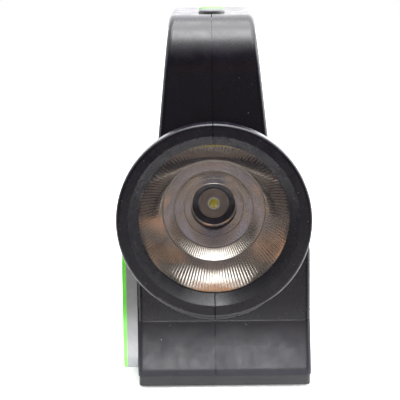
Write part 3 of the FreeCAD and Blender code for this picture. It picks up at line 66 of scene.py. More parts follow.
MIX_FIRST, MIX_SECOND, MIX_RESULT = 6, 7, 2  # the mix node's colour sockets


class Nodes:
    """A node tree under construction, with short calls for the nodes that are used most."""

    def __init__(self, tree):
        self.tree = tree

    def node(self, kind, **settings):
        made = self.tree.nodes.new(kind)
        for name, value in settings.items():
            setattr(made, name, value)
        return made

    def join(self, output, target):
        self.tree.links.new(output, target)

    def feed(self, value, socket):
        """Gives a socket a number, a colour or another node's output."""
        if isinstance(value, (int, float)):
            socket.default_value = value
        elif isinstance(value, tuple):
            socket.default_value = (*value, 1.0)
        else:
            self.join(value, socket)

    def fit(self, value, band, to=(0.0, 1.0), interpolation="LINEAR"):
        """Maps value from the band's two ends to the two ends of to, clamped."""
        made = self.node("ShaderNodeMapRange", clamp=True, interpolation_type=interpolation)
        made.inputs["From Min"].default_value, made.inputs["From Max"].default_value = band
        made.inputs["To Min"].default_value, made.inputs["To Max"].default_value = to
        self.join(value, made.inputs["Value"])
        return made.outputs["Result"]

    def step(self, value, low, high):
        """Smooth 0..1 as value passes from low to high."""
        return self.fit(value, (low, high), interpolation="SMOOTHSTEP")

    def math(self, operation, first, second):
        made = self.node("ShaderNodeMath", operation=operation)
        self.feed(first, made.inputs[0])
        self.feed(second, made.inputs[1])
        return made.outputs[0]

    def mix(self, factor, first, second):
        """Blend of two colours, from the first at factor 0 to the second at factor 1."""
        made = self.node("ShaderNodeMix", data_type="RGBA")
        self.join(factor, made.inputs["Factor"])
        self.feed(first, made.inputs[MIX_FIRST])
        self.feed(second, made.inputs[MIX_SECOND])
        return made.outputs[MIX_RESULT]


class Look(Nodes):
    """A principled material under construction; its patterns lie in object space, in metres."""

    def __init__(self, name, color, roughness, **sockets):
        self.material = bpy.data.materials.new(name)
        self.material.use_nodes = True
        super().__init__(self.material.node_tree)
        self.shader = self.tree.nodes["Principled BSDF"]
        self.set("Base Color", (*color, 1.0))
        self.set("Roughness", roughness)
        for socket, value in sockets.items():
            self.set(socket.replace("_", " "), value)
        self.place = self.node("ShaderNodeTexCoord").outputs["Object"]
        self.height = None

    def set(self, socket, value):
        self.shader.inputs[socket].default_value = value

    def stretched(self, scale):
        """Object coordinates scaled differently on each axis; a small scale makes a pattern long."""
        mapping = self.node("ShaderNodeMapping")
        mapping.inputs["Scale"].default_value = scale
        self.join(self.place, mapping.inputs["Vector"])
        return mapping.outputs["Vector"]

    def noise(self, scale, detail=3.0, roughness=0.55, vector=None):
        """Cloudy pattern with scale features per metre."""
        made = self.node("ShaderNodeTexNoise")
        made.inputs["Scale"].default_value = scale
        made.inputs["Detail"].default_value = detail
        made.inputs["Roughness"].default_value = roughness
        self.join(vector or self.place, made.inputs["Vector"])
        return made.outputs["Fac"]

    def cells(self, scale, output="Distance"):
        """Cell pattern with scale cells per metre: distance from a cell's middle, or a colour per cell."""
        made = self.node("ShaderNodeTexVoronoi")
        made.inputs["Scale"].default_value = scale
        self.join(self.place, made.inputs["Vector"])
        return made.outputs[output]

    def color(self, output):
        self.join(output, self.shader.inputs["Base Color"])

    def rough(self, output):
        self.join(output, self.shader.inputs["Roughness"])

    def bump(self, height, distance, strength=1.0):
        """Adds a bump on top of those already there; distance is the real relief in metres."""
        made = self.node("ShaderNodeBump")
        made.inputs["Distance"].default_value = distance
        made.inputs["Strength"].default_value = strength
        self.join(height, made.inputs["Height"])
        if self.height is not None:
            self.join(self.height, made.inputs["Normal"])
        self.height = made.outputs["Normal"]
        self.join(self.height, self.shader.inputs["Normal"])


def toned(color, factor, lift=0.0):
    """The colour made darker or lighter."""
    return tuple(min(1.0, channel * factor + lift) for channel in color)


# ---------------------------------------------------------------- material families

# A noise pattern's values lie mostly between 0.3 and 0.7. Each pair is the part of that range over which an
# effect goes from none to full: a higher pair makes rarer patches, a narrow pair gives them a sharper edge.
EVEN = (0.3, 0.7)
CLOUDY = (0.35, 0.65)
PATCHY = (0.35, 0.7)
BLOTCHY = (0.35, 0.75)
HAZY = (0.4, 0.75)
SMEARED = (0.4, 0.8)
SMEARED_GLOSS = (0.45, 0.8)
DUSTY = (0.48, 0.75)
SCUFFED = (0.66, 0.78)

SCUFF_LENGTHS = (1.0, 0.35, 0.2)  # scuffs are longest up and down
SCUFF_STRENGTH = 0.35
SPECKS_PER_METRE = 420.0
SPECKED_CELLS = (0.80, 0.82)  # of the cells' random brightness
SPECK_EDGE = (0.05, 0.09)  # distance from a cell's middle at which a speck ends
SPECK_COLOR = (0.5, 0.5, 0.52)
MATT_FADE = 2 * MM
MATT_EXTRA = 0.27
SWIRL_RELIEF, SWIRL_STRENGTH = 0.05 * MM, 0.2


def specked(look, base, amount):
    """The base colour with a pale dust speck in some of the cells of a pattern."""
    dot = look.fit(look.cells(SPECKS_PER_METRE), SPECK_EDGE, (1.0, 0.0))
    is_specked = look.fit(look.cells(SPECKS_PER_METRE, output="Color"), SPECKED_CELLS)
    speck = look.math("MULTIPLY", look.math("MULTIPLY", dot, is_specked), amount)
    return look.mix(speck, base, SPECK_COLOR)


def more_matt_below(look, roughness, height):
    """The roughness output, raised below a height on the lamp."""
    parts = look.node("ShaderNodeSeparateXYZ")
    look.join(look.place, parts.inputs[0])
    extra = look.fit(parts.outputs["Z"], (height, height - MATT_FADE), (0.0, MATT_EXTRA))
    return look.math("ADD", roughness, extra)


def moulded_plastic(
    name, color, roughness, grain=2600.0, relief=0.016 * MM, specks=0.0, matt_below=None, **sockets
):
    """Textured moulding: fine spark-eroded grain, cloudy gloss and faint scuffs.

    specks is the strength of its dust specks, and below the height matt_below it is more matt.
    """
    look = Look(name, color, roughness, **sockets)
    clouds = look.fit(look.noise(55.0, detail=4.0), CLOUDY)
    base = look.mix(clouds, toned(color, 0.82), toned(color, 1.16, 0.001))
    scratches = look.noise(700.0, detail=5.0, roughness=0.7, vector=look.stretched(SCUFF_LENGTHS))
    scuffs = look.fit(scratches, SCUFFED, (0.0, SCUFF_STRENGTH))
    base = look.mix(scuffs, base, toned(color, 1.5, 0.004))
    if specks:
        base = specked(look, base, specks)
    look.color(base)
    gloss = look.noise(130.0, detail=5.0, roughness=0.6)
    uneven = look.fit(gloss, EVEN, (roughness - 0.06, roughness + 0.07))
    if matt_below:
        uneven = more_matt_below(look, uneven, matt_below)
    look.rough(uneven)
    look.bump(look.noise(grain, detail=2.0), relief)
    look.bump(look.noise(35.0, detail=1.0), SWIRL_RELIEF, SWIRL_STRENGTH)
    return look.material


def soft_rubber(name, color, roughness=0.62, grain=1800.0):
    """Rubber: matt, finely grained, a little dusty."""
    look = Look(name, color, roughness)
    dust = look.fit(look.noise(260.0, detail=6.0, roughness=0.7), DUSTY, (0.0, 0.5))
    look.color(look.mix(dust, color, toned(color, 1.5, 0.006)))
    look.rough(look.fit(look.noise(90.0), EVEN, (roughness - 0.08, roughness + 0.1)))
    look.bump(look.cells(grain), 0.02 * MM)
    return look.material


def metal(name, color, roughness, lines=(1.0, 1.0, 1.0)):
    """Metal with a fine grain, long on an axis that lines gives a small scale, and stained colour."""
    look = Look(name, color, roughness, Metallic=1.0)
    stain = look.fit(look.noise(160.0, detail=5.0), PATCHY)
    look.color(look.mix(stain, toned(color, 0.85), color))
    drawn = look.noise(3000.0, detail=2.0, vector=look.stretched(lines))
    look.rough(look.fit(drawn, EVEN, (roughness * 0.7, roughness * 1.35)))
    look.bump(drawn, 0.004 * MM)
    return look.material


def mirror_look():
    """Vacuum-metallised reflector: bright, very slightly warm, with faint haze and moulding ripple."""
    color = (0.90, 0.87, 0.84)
    hazy_color = (0.80, 0.76, 0.72)
    look = Look("mirror_coat", color, 0.05, Metallic=0.88)
    haze = look.fit(look.noise(220.0, detail=6.0, roughness=0.65), HAZY)
    look.color(look.mix(haze, color, hazy_color))
    look.rough(look.fit(look.noise(400.0, detail=4.0), BLOTCHY, (0.03, 0.09)))
    look.bump(look.noise(180.0, detail=2.0), 0.012 * MM, 0.6)
    return look.material


POLYCARBONATE_IOR = 1.49


def clear_look(name, tint, roughness):
    """Clear polycarbonate: transmitting, with the haze of finger smears and a faint moulding ripple."""
    look = Look(name, tint, roughness, Transmission_Weight=1.0, IOR=POLYCARBONATE_IOR)
    smear = look.noise(90.0, detail=6.0, roughness=0.6)
    look.rough(look.fit(smear, SMEARED_GLOSS, (roughness, roughness + 0.06)))
    look.color(look.mix(look.fit(smear, SMEARED), tint, toned(tint, 0.97)))
    look.bump(look.noise(40.0, detail=1.0), 0.01 * MM)
    return look.material


RIBS_PER_METRE = 140.0
RIB_RELIEF, RIB_STRENGTH = 0.35 * MM, 0.7


def prismatic_look():
    """Side lens: lightly frosted clear polycarbonate with upright prism ribs."""
    color = (0.95, 0.96, 0.96)
    smeared_color = (0.91, 0.93, 0.93)
    look = Look("frosted_lens", color, 0.12, Transmission_Weight=0.80, IOR=POLYCARBONATE_IOR)
    ribs = look.node("ShaderNodeTexWave", wave_type="BANDS", bands_direction="Y", wave_profile="TRI")
    ribs.inputs["Scale"].default_value = RIBS_PER_METRE / 2
    look.join(look.place, ribs.inputs["Vector"])
    look.bump(ribs.outputs["Fac"], RIB_RELIEF, RIB_STRENGTH)
    smear = look.noise(90.0, detail=5.0, roughness=0.6)
    look.rough(look.fit(smear, SMEARED, (0.10, 0.20)))
    look.color(look.mix(look.fit(smear, SMEARED), color, smeared_color))
    return look.material


def phosphor_look(name, color, glow=0.0):
    """Phosphor layer or clear silicone over it: a grainy, slightly uneven coat, with a painted glow of its own
    if asked to.
    """
    look = Look(name, color, 0.45, Subsurface_Weight=0.15, Emission_Strength=glow)
    look.set("Subsurface Radius", (0.4 * MM, 0.3 * MM, 0.05 * MM))
    look.set("Emission Color", (*color, 1.0))
    grains_per_metre = 5200.0
    grains = look.fit(look.noise(grains_per_metre, detail=3.0), PATCHY)
    look.color(look.mix(grains, toned(color, 0.8), color))
    look.bump(look.noise(grains_per_metre, detail=2.0), 0.01 * MM)
    return look.material


def circuit_look(name, mask, trace):
    """Circuit board: mottled solder mask over raised lanes."""
    look = Look(name, mask, 0.32, Coat_Weight=0.4)
    lanes = look.node("ShaderNodeTexBrick", offset=0.5)
    lanes.inputs["Scale"].default_value = 190.0
    lanes.inputs["Mortar Size"].default_value = 0.018
    look.join(look.place, lanes.inputs["Vector"])
    under_mask = look.mix(look.fit(lanes.outputs["Fac"], (0.0, 1.0)), mask, trace)
    mottled = look.fit(look.noise(600.0, detail=3.0), PATCHY)
    look.color(look.mix(mottled, under_mask, mask))
    look.bump(lanes.outputs["Fac"], 0.03 * MM)
    return look.material


def green_look():
    """Fluorescent green rim: saturated, slightly translucent, softly glossy, with a faint painted glow that
    stands in for the brightness of its fluorescent pigment.
    """
    color = (0.26, 0.86, 0.14)
    deep, bright = (0.17, 0.80, 0.08), (0.25, 0.92, 0.13)
    # The emission is painted light: the rim gives off a little green light of its own, standing in for its
    # fluorescence.
    look = Look("green_trim", color, 0.36, Subsurface_Weight=0.25, Emission_Strength=0.12)
    look.set("Subsurface Radius", (1.2 * MM, 2.4 * MM, 0.8 * MM))
    look.set("Emission Color", (0.18, 1.0, 0.06, 1.0))
    clouds = look.fit(look.noise(70.0, detail=4.0), CLOUDY)
    look.color(look.mix(clouds, deep, bright))
    look.rough(look.fit(look.noise(160.0, detail=4.0), EVEN, (0.3, 0.44)))
    look.bump(look.noise(2400.0, detail=2.0), 0.01 * MM)
    return look.material


# ---------------------------------------------------------------- materials

CREASE_HEIGHT = 35.5 * MM  # where the body's front wall turns into the sloping toe
BLACK = (0.0062, 0.0059, 0.0122)
FINE_GRAIN = 4000.0
FINE_RELIEF = 0.004 * MM
DRAWN_ALONG_Y = (1.0, 0.1, 1.0)
DRAWN_ALONG_Z = (1.0, 1.0, 0.15)

LOOKS = {
    "black_shell": moulded_plastic(
        "black_shell", BLACK, 0.25, specks=0.8, matt_below=CREASE_HEIGHT, Specular_IOR_Level=0.42
    ),
    "black_cover": moulded_plastic("black_cover", (0.012, 0.012, 0.014), 0.48, grain=2000.0),
    "black_rubber": soft_rubber("black_rubber", (0.014, 0.014, 0.015)),
    "zinc_steel": metal("zinc_steel", (0.60, 0.60, 0.57), 0.3, DRAWN_ALONG_Z),
    "clear_lens": clear_look("clear_lens", (0.985, 0.99, 0.985), 0.0),
    "mirror_coat": mirror_look(),
    "mirror_ledge": metal("mirror_ledge", (0.34, 0.32, 0.30), 0.42),
    "dark_floor": moulded_plastic("dark_floor", (0.050, 0.050, 0.054), 0.22, relief=0.003 * MM),
    "white_board": circuit_look("white_board", (0.74, 0.74, 0.71), (0.62, 0.62, 0.58)),
    "white_plastic": moulded_plastic("white_plastic", (0.78, 0.78, 0.75), 0.3, relief=0.006 * MM),
    "holder_plastic": moulded_plastic("holder_plastic", (0.50, 0.42, 0.37), 0.34, relief=0.008 * MM),
    "ceramic": moulded_plastic("ceramic", (0.72, 0.70, 0.66), 0.4, FINE_GRAIN, FINE_RELIEF),
    "emitter_body": phosphor_look("emitter_body", (0.55, 0.47, 0.12)),
    # Painted light: the pale ring gives off a little light though the LED is off, standing in for the light
    # that the dome gathers in.
    "silicone_ring_painted_glow": phosphor_look("silicone_ring_painted_glow", (0.92, 0.88, 0.84), glow=0.42),
    # Painted light: the yellow phosphor gives off a little light though the LED is off, so that it looks lit
    # and its reflection shows in the mirror's zones.
    "phosphor": phosphor_look("phosphor", (0.66, 0.54, 0.01), glow=0.16),
    "insulator": soft_rubber("insulator", (0.42, 0.39, 0.33), 0.7),
    "sink_metal": metal("sink_metal", (0.74, 0.75, 0.76), 0.34, DRAWN_ALONG_Y),
    "grey_frame": moulded_plastic("grey_frame", (0.31, 0.325, 0.335), 0.40, relief=0.012 * MM),
    "green_trim": green_look(),
    "frosted_lens": prismatic_look(),
    "source_body": moulded_plastic("source_body", (0.80, 0.79, 0.74), 0.32, FINE_GRAIN, FINE_RELIEF),
    "battery_case": moulded_plastic("battery_case", (0.055, 0.06, 0.07), 0.45),
    "tab_metal": metal("tab_metal", (0.72, 0.60, 0.36), 0.28),
    "foam": soft_rubber("foam", (0.03, 0.03, 0.032), 0.85, grain=900.0),
    "green_board": circuit_look("green_board", (0.012, 0.10, 0.035), (0.02, 0.17, 0.06)),
    "components": moulded_plastic("components", (0.03, 0.03, 0.033), 0.4),
    "switch_case": moulded_plastic("switch_case", (0.03, 0.03, 0.03), 0.4),
    "grey_button": soft_rubber("grey_button", (0.15, 0.155, 0.16), 0.5),
    "green_button": soft_rubber("green_button", (0.16, 0.62, 0.07), 0.46),
    "jack_plastic": moulded_plastic("jack_plastic", (0.02, 0.02, 0.022), 0.35),
    "indicator": clear_look("indicator", (0.85, 0.20, 0.14), 0.12),
    "red_lead": soft_rubber("red_lead", (0.42, 0.02, 0.02), 0.42),
    "white_lead": soft_rubber("white_lead", (0.62, 0.62, 0.59), 0.42),
    "black_lead": soft_rubber("black_lead", (0.02, 0.02, 0.02), 0.42),
}


def dress_cad_nodes():
    """Gives every carried-over CAD node the procedural look of its slot, and the LED's holder its own."""
    slot_of = {part["node"]: part["material_slot"] for part in frame["record"]["subparts"]}
    for name, node in NODES.items():
        for slot in node.material_slots:
            slot.material = LOOKS[slot_of[name]]
    NODES["led_holder"].material_slots[0].material = LOOKS["holder_plastic"]


# ---------------------------------------------------------------- mesh helpers


def mesh_object(name, points, faces, looks, face_looks, sharp):
    """Mesh piece from points and faces, smooth except at edges sharper than the angle in degrees."""
    mesh = bpy.data.meshes.new(name)
    mesh.from_pydata(points, [], faces)
    for look in looks:
        mesh.materials.append(LOOKS[look])
    for polygon, look in zip(mesh.polygons, face_looks):
        polygon.material_index = looks.index(look)
    builder = bmesh.new()
    builder.from_mesh(mesh)
    bmesh.ops.recalc_face_normals(builder, faces=builder.faces)
    builder.to_mesh(mesh)
    builder.free()
    mesh.shade_smooth()
    mesh.set_sharp_from_angle(angle=math.radians(sharp))
    piece = bpy.data.objects.new(name, mesh)
    bpy.context.scene.collection.objects.link(piece)
    return piece


def turned(name, profile, looks, around, wave=None, sharp=35.0, choose=None):
    """Closed ring turned about the optical axis from a closed profile of (y, radius).

    wave(index, turn) is added to the radius of a profile point at a turn of 0..1. choose(index) names the
    look of the strip that starts at that profile point; without it every strip has the first look.
    """
    points, faces, face_looks = [], [], []
    count = len(profile)
    for step in range(around):
        turn = step / around
        angle = turn * 2 * math.pi
        for index, (y, radius) in enumerate(profile):
            r = radius + (wave(index, turn) if wave else 0.0)
            points.append((r * math.sin(angle), y, AXIS_HEIGHT + r * math.cos(angle)))
    for step in range(around):
        here, ahead = step * count, (step + 1) % around * count
        for index in range(count):
            after = (index + 1) % count
            faces.append((here + index, here + after, ahead + after, ahead + index))
            face_looks.append(choose(index) if choose else looks[0])
    return mesh_object(name, points, faces, looks, face_looks, sharp)


def place_piece(piece, body, slot, *replaced):
    """Rides a piece on a body and hides the CAD nodes that it stands for. The slot argument is not used."""
    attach(piece, body)
    if replaced:
        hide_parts(*replaced)


# ---------------------------------------------------------------- reflector

FLUTES = 138
FLUTE_DEPTH = 0.060 * MM
STEPS_PER_FLUTE = 7
RIM_RADIUS = LENS_HIGH.x - 1.8 * MM
MIRROR_FOCUS = 9.2 * MM  # of all zones but the second, and of the back of the wall
SECOND_FOCUS = 11.4 * MM
LEDGE = 0.5 * MM
LEDGE_FALL = 0.05 * MM
NECK = 12.2 * MM
ZONE_STEPS = 14
FLUTE_FADE = 0.35  # share of the flutes' depth that is left at the two ends of a zone
ZONES = [
    # inner end radius, focal length, strength of the flutes
    (26.8 * MM, MIRROR_FOCUS, 1.0),
    (20.9 * MM, SECOND_FOCUS, 0.8),
    (15.8 * MM, MIRROR_FOCUS, 0.3),
    (NECK, MIRROR_FOCUS, 0.0),
]
SOURCE_HOLE = 8.2 * MM
SOURCE_HOLE_BEVEL = 0.3 * MM
FLOOR_THICKNESS = 1.4 * MM
NECK_FILLET = 0.9 * MM
FILLET_MIDDLE = 0.3  # share of the fillet that is left at its middle point
WALL_ALONG_Y = 3.3 * MM
BACK_RADII = (19 * MM, 24 * MM, 29 * MM, 34 * MM)
BACK_FACE_RADIUS = 13.5 * MM
FLANGE_THICKNESS = 1.6 * MM
FLANGE_INSET = 1.0 * MM  # of its back edge, inside the lens edge


def mirror_depth(outer, inner, focus):
    """How far behind its outer radius a parabolic mirror lies at its inner radius."""
    return (outer**2 - inner**2) / (4 * focus)


def mirror_profile():
    """Inside of the reflector from the rim to the neck, as (y, radius, flute strength, starts a ledge)."""
    y, radius = MIRROR_LOW.y, RIM_RADIUS
    profile = [(y, radius, 0.0, False)]
    for end, focus, fluted in ZONES:
        start_y, start = y, radius
        is_last = end == NECK
        for i in range(1, ZONE_STEPS + 1):
            r = start + (end - start) * i / ZONE_STEPS
            is_end = i in (1, ZONE_STEPS)
            strength = fluted * (FLUTE_FADE if is_end else 1.0)
            at_ledge = i == ZONE_STEPS and not is_last
            profile.append((start_y + mirror_depth(start, r, focus), r, strength, at_ledge))
        y, radius = profile[-1][0] + LEDGE_FALL, end - LEDGE
        if not is_last:
            profile.append((y, radius, 0.0, False))
    return profile


def neck_profile(floor_y):
    """Fillet between the mirror's neck and the floor."""
    middle = FILLET_MIDDLE * NECK_FILLET
    return [(floor_y - NECK_FILLET, NECK), (floor_y - middle, NECK - middle)]


def floor_profile(floor_y):
    """Floor round the light source, with the bevelled hole that the source shows through."""
    return [
        (floor_y, NECK - NECK_FILLET),
        (floor_y, SOURCE_HOLE + SOURCE_HOLE_BEVEL),
        (floor_y + SOURCE_HOLE_BEVEL, SOURCE_HOLE),
        (MIRROR_HIGH.y, SOURCE_HOLE),
    ]


def back_profile():
    """Back of the wall and the flange round the rim; the last point starts the flange's front face."""
    rim_y = MIRROR_LOW.y
    flange_back = rim_y + FLANGE_THICKNESS
    profile = [(MIRROR_HIGH.y, BACK_FACE_RADIUS)]
    for r in BACK_RADII:
        profile.append((rim_y + mirror_depth(RIM_RADIUS, r, MIRROR_FOCUS) + WALL_ALONG_Y, r))
    profile.append((flange_back, LENS_HIGH.x - FLANGE_INSET))
    profile.append((flange_back, MIRROR_HIGH.x))
    profile.append((rim_y, MIRROR_HIGH.x))
    return profile


def build_reflector():
    """Stepped and fluted mirror with a bright neck and a dark floor round the light source."""
    floor_y = MIRROR_HIGH.y - FLOOR_THICKNESS
    mirror = mirror_profile()
    neck, floor = neck_profile(floor_y), floor_profile(floor_y)
    plain = neck + floor + back_profile()
    profile = [(y, r) for y, r, _, _ in mirror] + plain
    strengths = [strength for _, _, strength, _ in mirror] + [0.0] * len(plain)
    ledges = {i for i, (_, _, _, at_ledge) in enumerate(mirror) if at_ledge}
    floor_start = len(mirror) + len(neck)
    floor_end = floor_start + len(floor)
    flange_front = len(profile) - 1

    def flute(index, turn):
        return FLUTE_DEPTH * strengths[index] * abs(math.sin(math.pi * FLUTES * turn))

    def choose(index):
        if index in ledges:
            return "mirror_ledge"
        is_dark = floor_start <= index < floor_end or index == flange_front
        return "dark_floor" if is_dark else "mirror_coat"

    looks = ["mirror_coat", "dark_floor", "mirror_ledge"]
    around = FLUTES * STEPS_PER_FLUTE
    piece = turned("reflector_mirror", profile, looks, around, flute, 32.0, choose)
    place_piece(piece, "housing", "mirror_coat", "reflector")


# ---------------------------------------------------------------- front lens

LENS_BEVEL = 0.35 * MM
LENS_SWELL = 0.12 * MM
LENS_RINGS = 10
LENS_AROUND = 192
LENS_PINHOLE = 0.001  # share of the radius at which the faces close up on the axis


def lens_face(y, inwards):
    """Slightly swollen lens face from the axis out; inwards is the Y direction of the lens's inside."""
    flat_radius = LENS_HIGH.x - LENS_BEVEL
    profile = []
    for i in range(LENS_RINGS + 1):
        share = i / LENS_RINGS
        profile.append((y + inwards * LENS_SWELL * share**2, flat_radius * max(share, LENS_PINHOLE)))
    return profile


def build_front_lens():
    """Clear disc with bevelled edges; its faces swell very slightly, as a moulded lens does, and its rim is
    painted black as shade inside the bezel's seam.
    """
    radius, front, back = LENS_HIGH.x, LENS_LOW.y, LENS_HIGH.y
    edge = [(front + LENS_SWELL + LENS_BEVEL, radius), (back - LENS_SWELL - LENS_BEVEL, radius)]
    profile = lens_face(front, 1) + edge + list(reversed(lens_face(back, -1)))
    edge_start = LENS_RINGS
    edge_end = edge_start + len(edge)

    # Painted shade: the clear lens's edge takes the black cover's look, so that no glint from light through
    # the bezel's seam shows on it.
    def choose(index):
        return "black_cover" if edge_start <= index <= edge_end else "clear_lens"

    piece = turned("front_lens_clear", profile, ["clear_lens", "black_cover"], LENS_AROUND, choose=choose)
    place_piece(piece, "housing", "clear_lens", "front_lens")


# ---------------------------------------------------------------- light source

PACKAGE_TOP = BOARD_FRONT - 2.0 * MM
PACKAGE_RADIUS = 3.9 * MM
PACKAGE_SHOULDER = 3.6 * MM
RING_OUTER, RING_INNER = 2.9 * MM, 2.2 * MM
RING_FOOT = 3.2 * MM
WELL_Y, WELL_RADIUS = PACKAGE_TOP + 0.3 * MM, 2.05 * MM
DOME_RADIUS = 2.72 * MM
DOME_STEPS = 22
EMITTER_AROUND = 96
PINHOLE = 0.02 * MM  # radius at which the turned pieces close up on the axis


def build_emitter_package():
    """Ceramic package with a stepped rim and a pale ring round the well that holds the phosphor; the ring
    gives off a faint painted light of its own.
    """
    top = PACKAGE_TOP
    outside = [
        (BOARD_FRONT, PINHOLE),
        (BOARD_FRONT, PACKAGE_RADIUS),
        (top + 0.9 * MM, PACKAGE_RADIUS),
        (top + 0.6 * MM, PACKAGE_SHOULDER),
        (top + 0.6 * MM, RING_FOOT),
    ]
    ring = [(top + 0.1 * MM, RING_OUTER), (top + 0.1 * MM, RING_INNER)]
    well = [(WELL_Y, WELL_RADIUS), (WELL_Y, PINHOLE)]
    ring_start = len(outside)

    def choose(index):
        return "silicone_ring_painted_glow" if index == ring_start else "ceramic"

    looks = ["ceramic", "silicone_ring_painted_glow"]
    piece = turned("emitter_package", outside + ring + well, looks, EMITTER_AROUND, sharp=30.0, choose=choose)
    place_piece(piece, "housing", "white_plastic", "led_emitter")


def build_phosphor():
    """Low yellow mound that fills the package's well; its look gives off a faint painted light of its own."""
    top = PACKAGE_TOP
    profile = [
        (WELL_Y, PINHOLE),
        (WELL_Y, WELL_RADIUS),
        (top - 0.1 * MM, 1.75 * MM),
        (top - 0.35 * MM, 1.4 * MM),
        (top - 0.5 * MM, 0.9 * MM),
        (top - 0.55 * MM, PINHOLE),
    ]
    piece = turned("emitter_phosphor", profile, ["phosphor"], EMITTER_AROUND, sharp=60.0)
    place_piece(piece, "housing", "emitter_body")


def build_dome():
    """Clear half-round dome, hollow over the phosphor."""
    top = PACKAGE_TOP
    profile = []
    for i in range(DOME_STEPS + 1):
        angle = math.radians(90 * i / DOME_STEPS)
        profile.append((top - DOME_RADIUS * math.sin(angle), max(DOME_RADIUS * math.cos(angle), PINHOLE)))
    profile += [(top - 0.62 * MM, PINHOLE), (top - 0.4 * MM, 1.7 * MM), (top, RING_INNER)]
    piece = turned("emitter_dome", profile, ["clear_lens"], EMITTER_AROUND, sharp=50.0)
    place_piece(piece, "housing", "emitter_body")


# ---------------------------------------------------------------- floor

FLOOR_FRONT = -0.13
FLOOR_REACH = 3.0
FLOOR_GREY = (0.9, 0.9, 0.9)
FLOOR_GLOW = 0.35


def build_floor():
    """Plain pale floor, ending a little in front of the lamp."""
    corners = [
        (-FLOOR_REACH, FLOOR_FRONT, 0),
        (FLOOR_REACH, FLOOR_FRONT, 0),
        (FLOOR_REACH, FLOOR_REACH, 0),
        (-FLOOR_REACH, FLOOR_REACH, 0),
    ]
    mesh = bpy.data.meshes.new("floor")
    mesh.from_pydata(corners, [], [(0, 1, 2, 3)])
    floor = bpy.data.objects.new("floor", mesh)
    bpy.context.scene.collection.objects.link(floor)
    look = Look("floor", FLOOR_GREY, 0.7, Emission_Strength=FLOOR_GLOW)
    look.set("Emission Color", (*WHITE, 1.0))
    look.color(look.mix(look.fit(look.noise(8.0), EVEN), (0.88, 0.88, 0.88), (0.92, 0.92, 0.92)))
    mesh.materials.append(look.material)


# ---------------------------------------------------------------- surroundings

SURROUND_LEFT = (1.7, 1.7, 1.75)
SURROUND_RIGHT = (3.2, 3.2, 3.25)
ROOM_LOW = (0.30, 0.235, 0.20)
ROOM_HIGH = (0.26, 0.215, 0.19)
OVERHEAD = (2.4, 2.4, 2.45)
ZENITH = (9.0, 9.0, 9.2)

# Where each blend starts and ends, as parts of a direction of length 1.
TURN_TO_ROOM = (0.02, 0.35)  # towards -Y
LEFT_TO_RIGHT = (-0.3, 0.6)
LOW_TO_HIGH = (-0.05, 0.35)
OVERHEAD_EDGE = (0.74, 0.99)
ZENITH_EDGE = (0.975, 0.992)
FORWARD_EDGE = (0.0, 0.02)  # towards -Y
LEAST_FORWARD = 0.001

DARK = (0.04, 0.04, 0.04)
DARK_GREEN = (0.04, 0.045, 0.04)
WINDOWS = [
    # x slope range, z slope range, softness, light
    ((-3.0, -0.7), (0.15, 1.2), 0.10, DARK),
    ((0.7, 3.0), (0.15, 1.2), 0.10, DARK),
    ((-1.6, -0.84), (-0.30, 0.04), 0.08, (0.80, 0.38, 0.17)),
    ((0.84, 1.6), (-0.30, 0.04), 0.08, (0.72, 0.36, 0.17)),
    ((-0.80, -0.24), (-0.22, 0.24), 0.03, DARK_GREEN),
    ((0.26, 0.80), (-0.22, 0.34), 0.03, DARK_GREEN),
    ((-0.60, 0.60), (0.50, 1.00), 0.03, (0.07, 0.065, 0.06)),
    ((0.12, 0.46), (0.47, 0.72), 0.03, (0.85, 0.45, 0.25)),
    ((0.06, 0.24), (0.36, 0.46), 0.02, (0.95, 0.49, 0.24)),
    ((-0.46, -0.24), (0.26, 0.40), 0.02, (0.95, 0.47, 0.22)),
    ((-0.09, 0.09), (0.00, 0.20), 0.04, (0.30, 0.30, 0.40)),
    ((-0.12, 0.12), (-0.26, -0.06), 0.03, (0.06, 0.06, 0.10)),
    ((-0.34, 0.34), (-0.52, -0.42), 0.03, (0.90, 0.48, 0.25)),
    ((-0.40, 0.40), (-0.36, -0.30), 0.02, (3.4, 3.4, 3.4)),
    ((-0.22, 0.22), (-0.43, -0.34), 0.02, (3.6, 3.6, 3.6)),
    ((-3.0, 3.0), (-6.0, -0.95), 0.08, (2.8, 2.8, 2.8)),
]


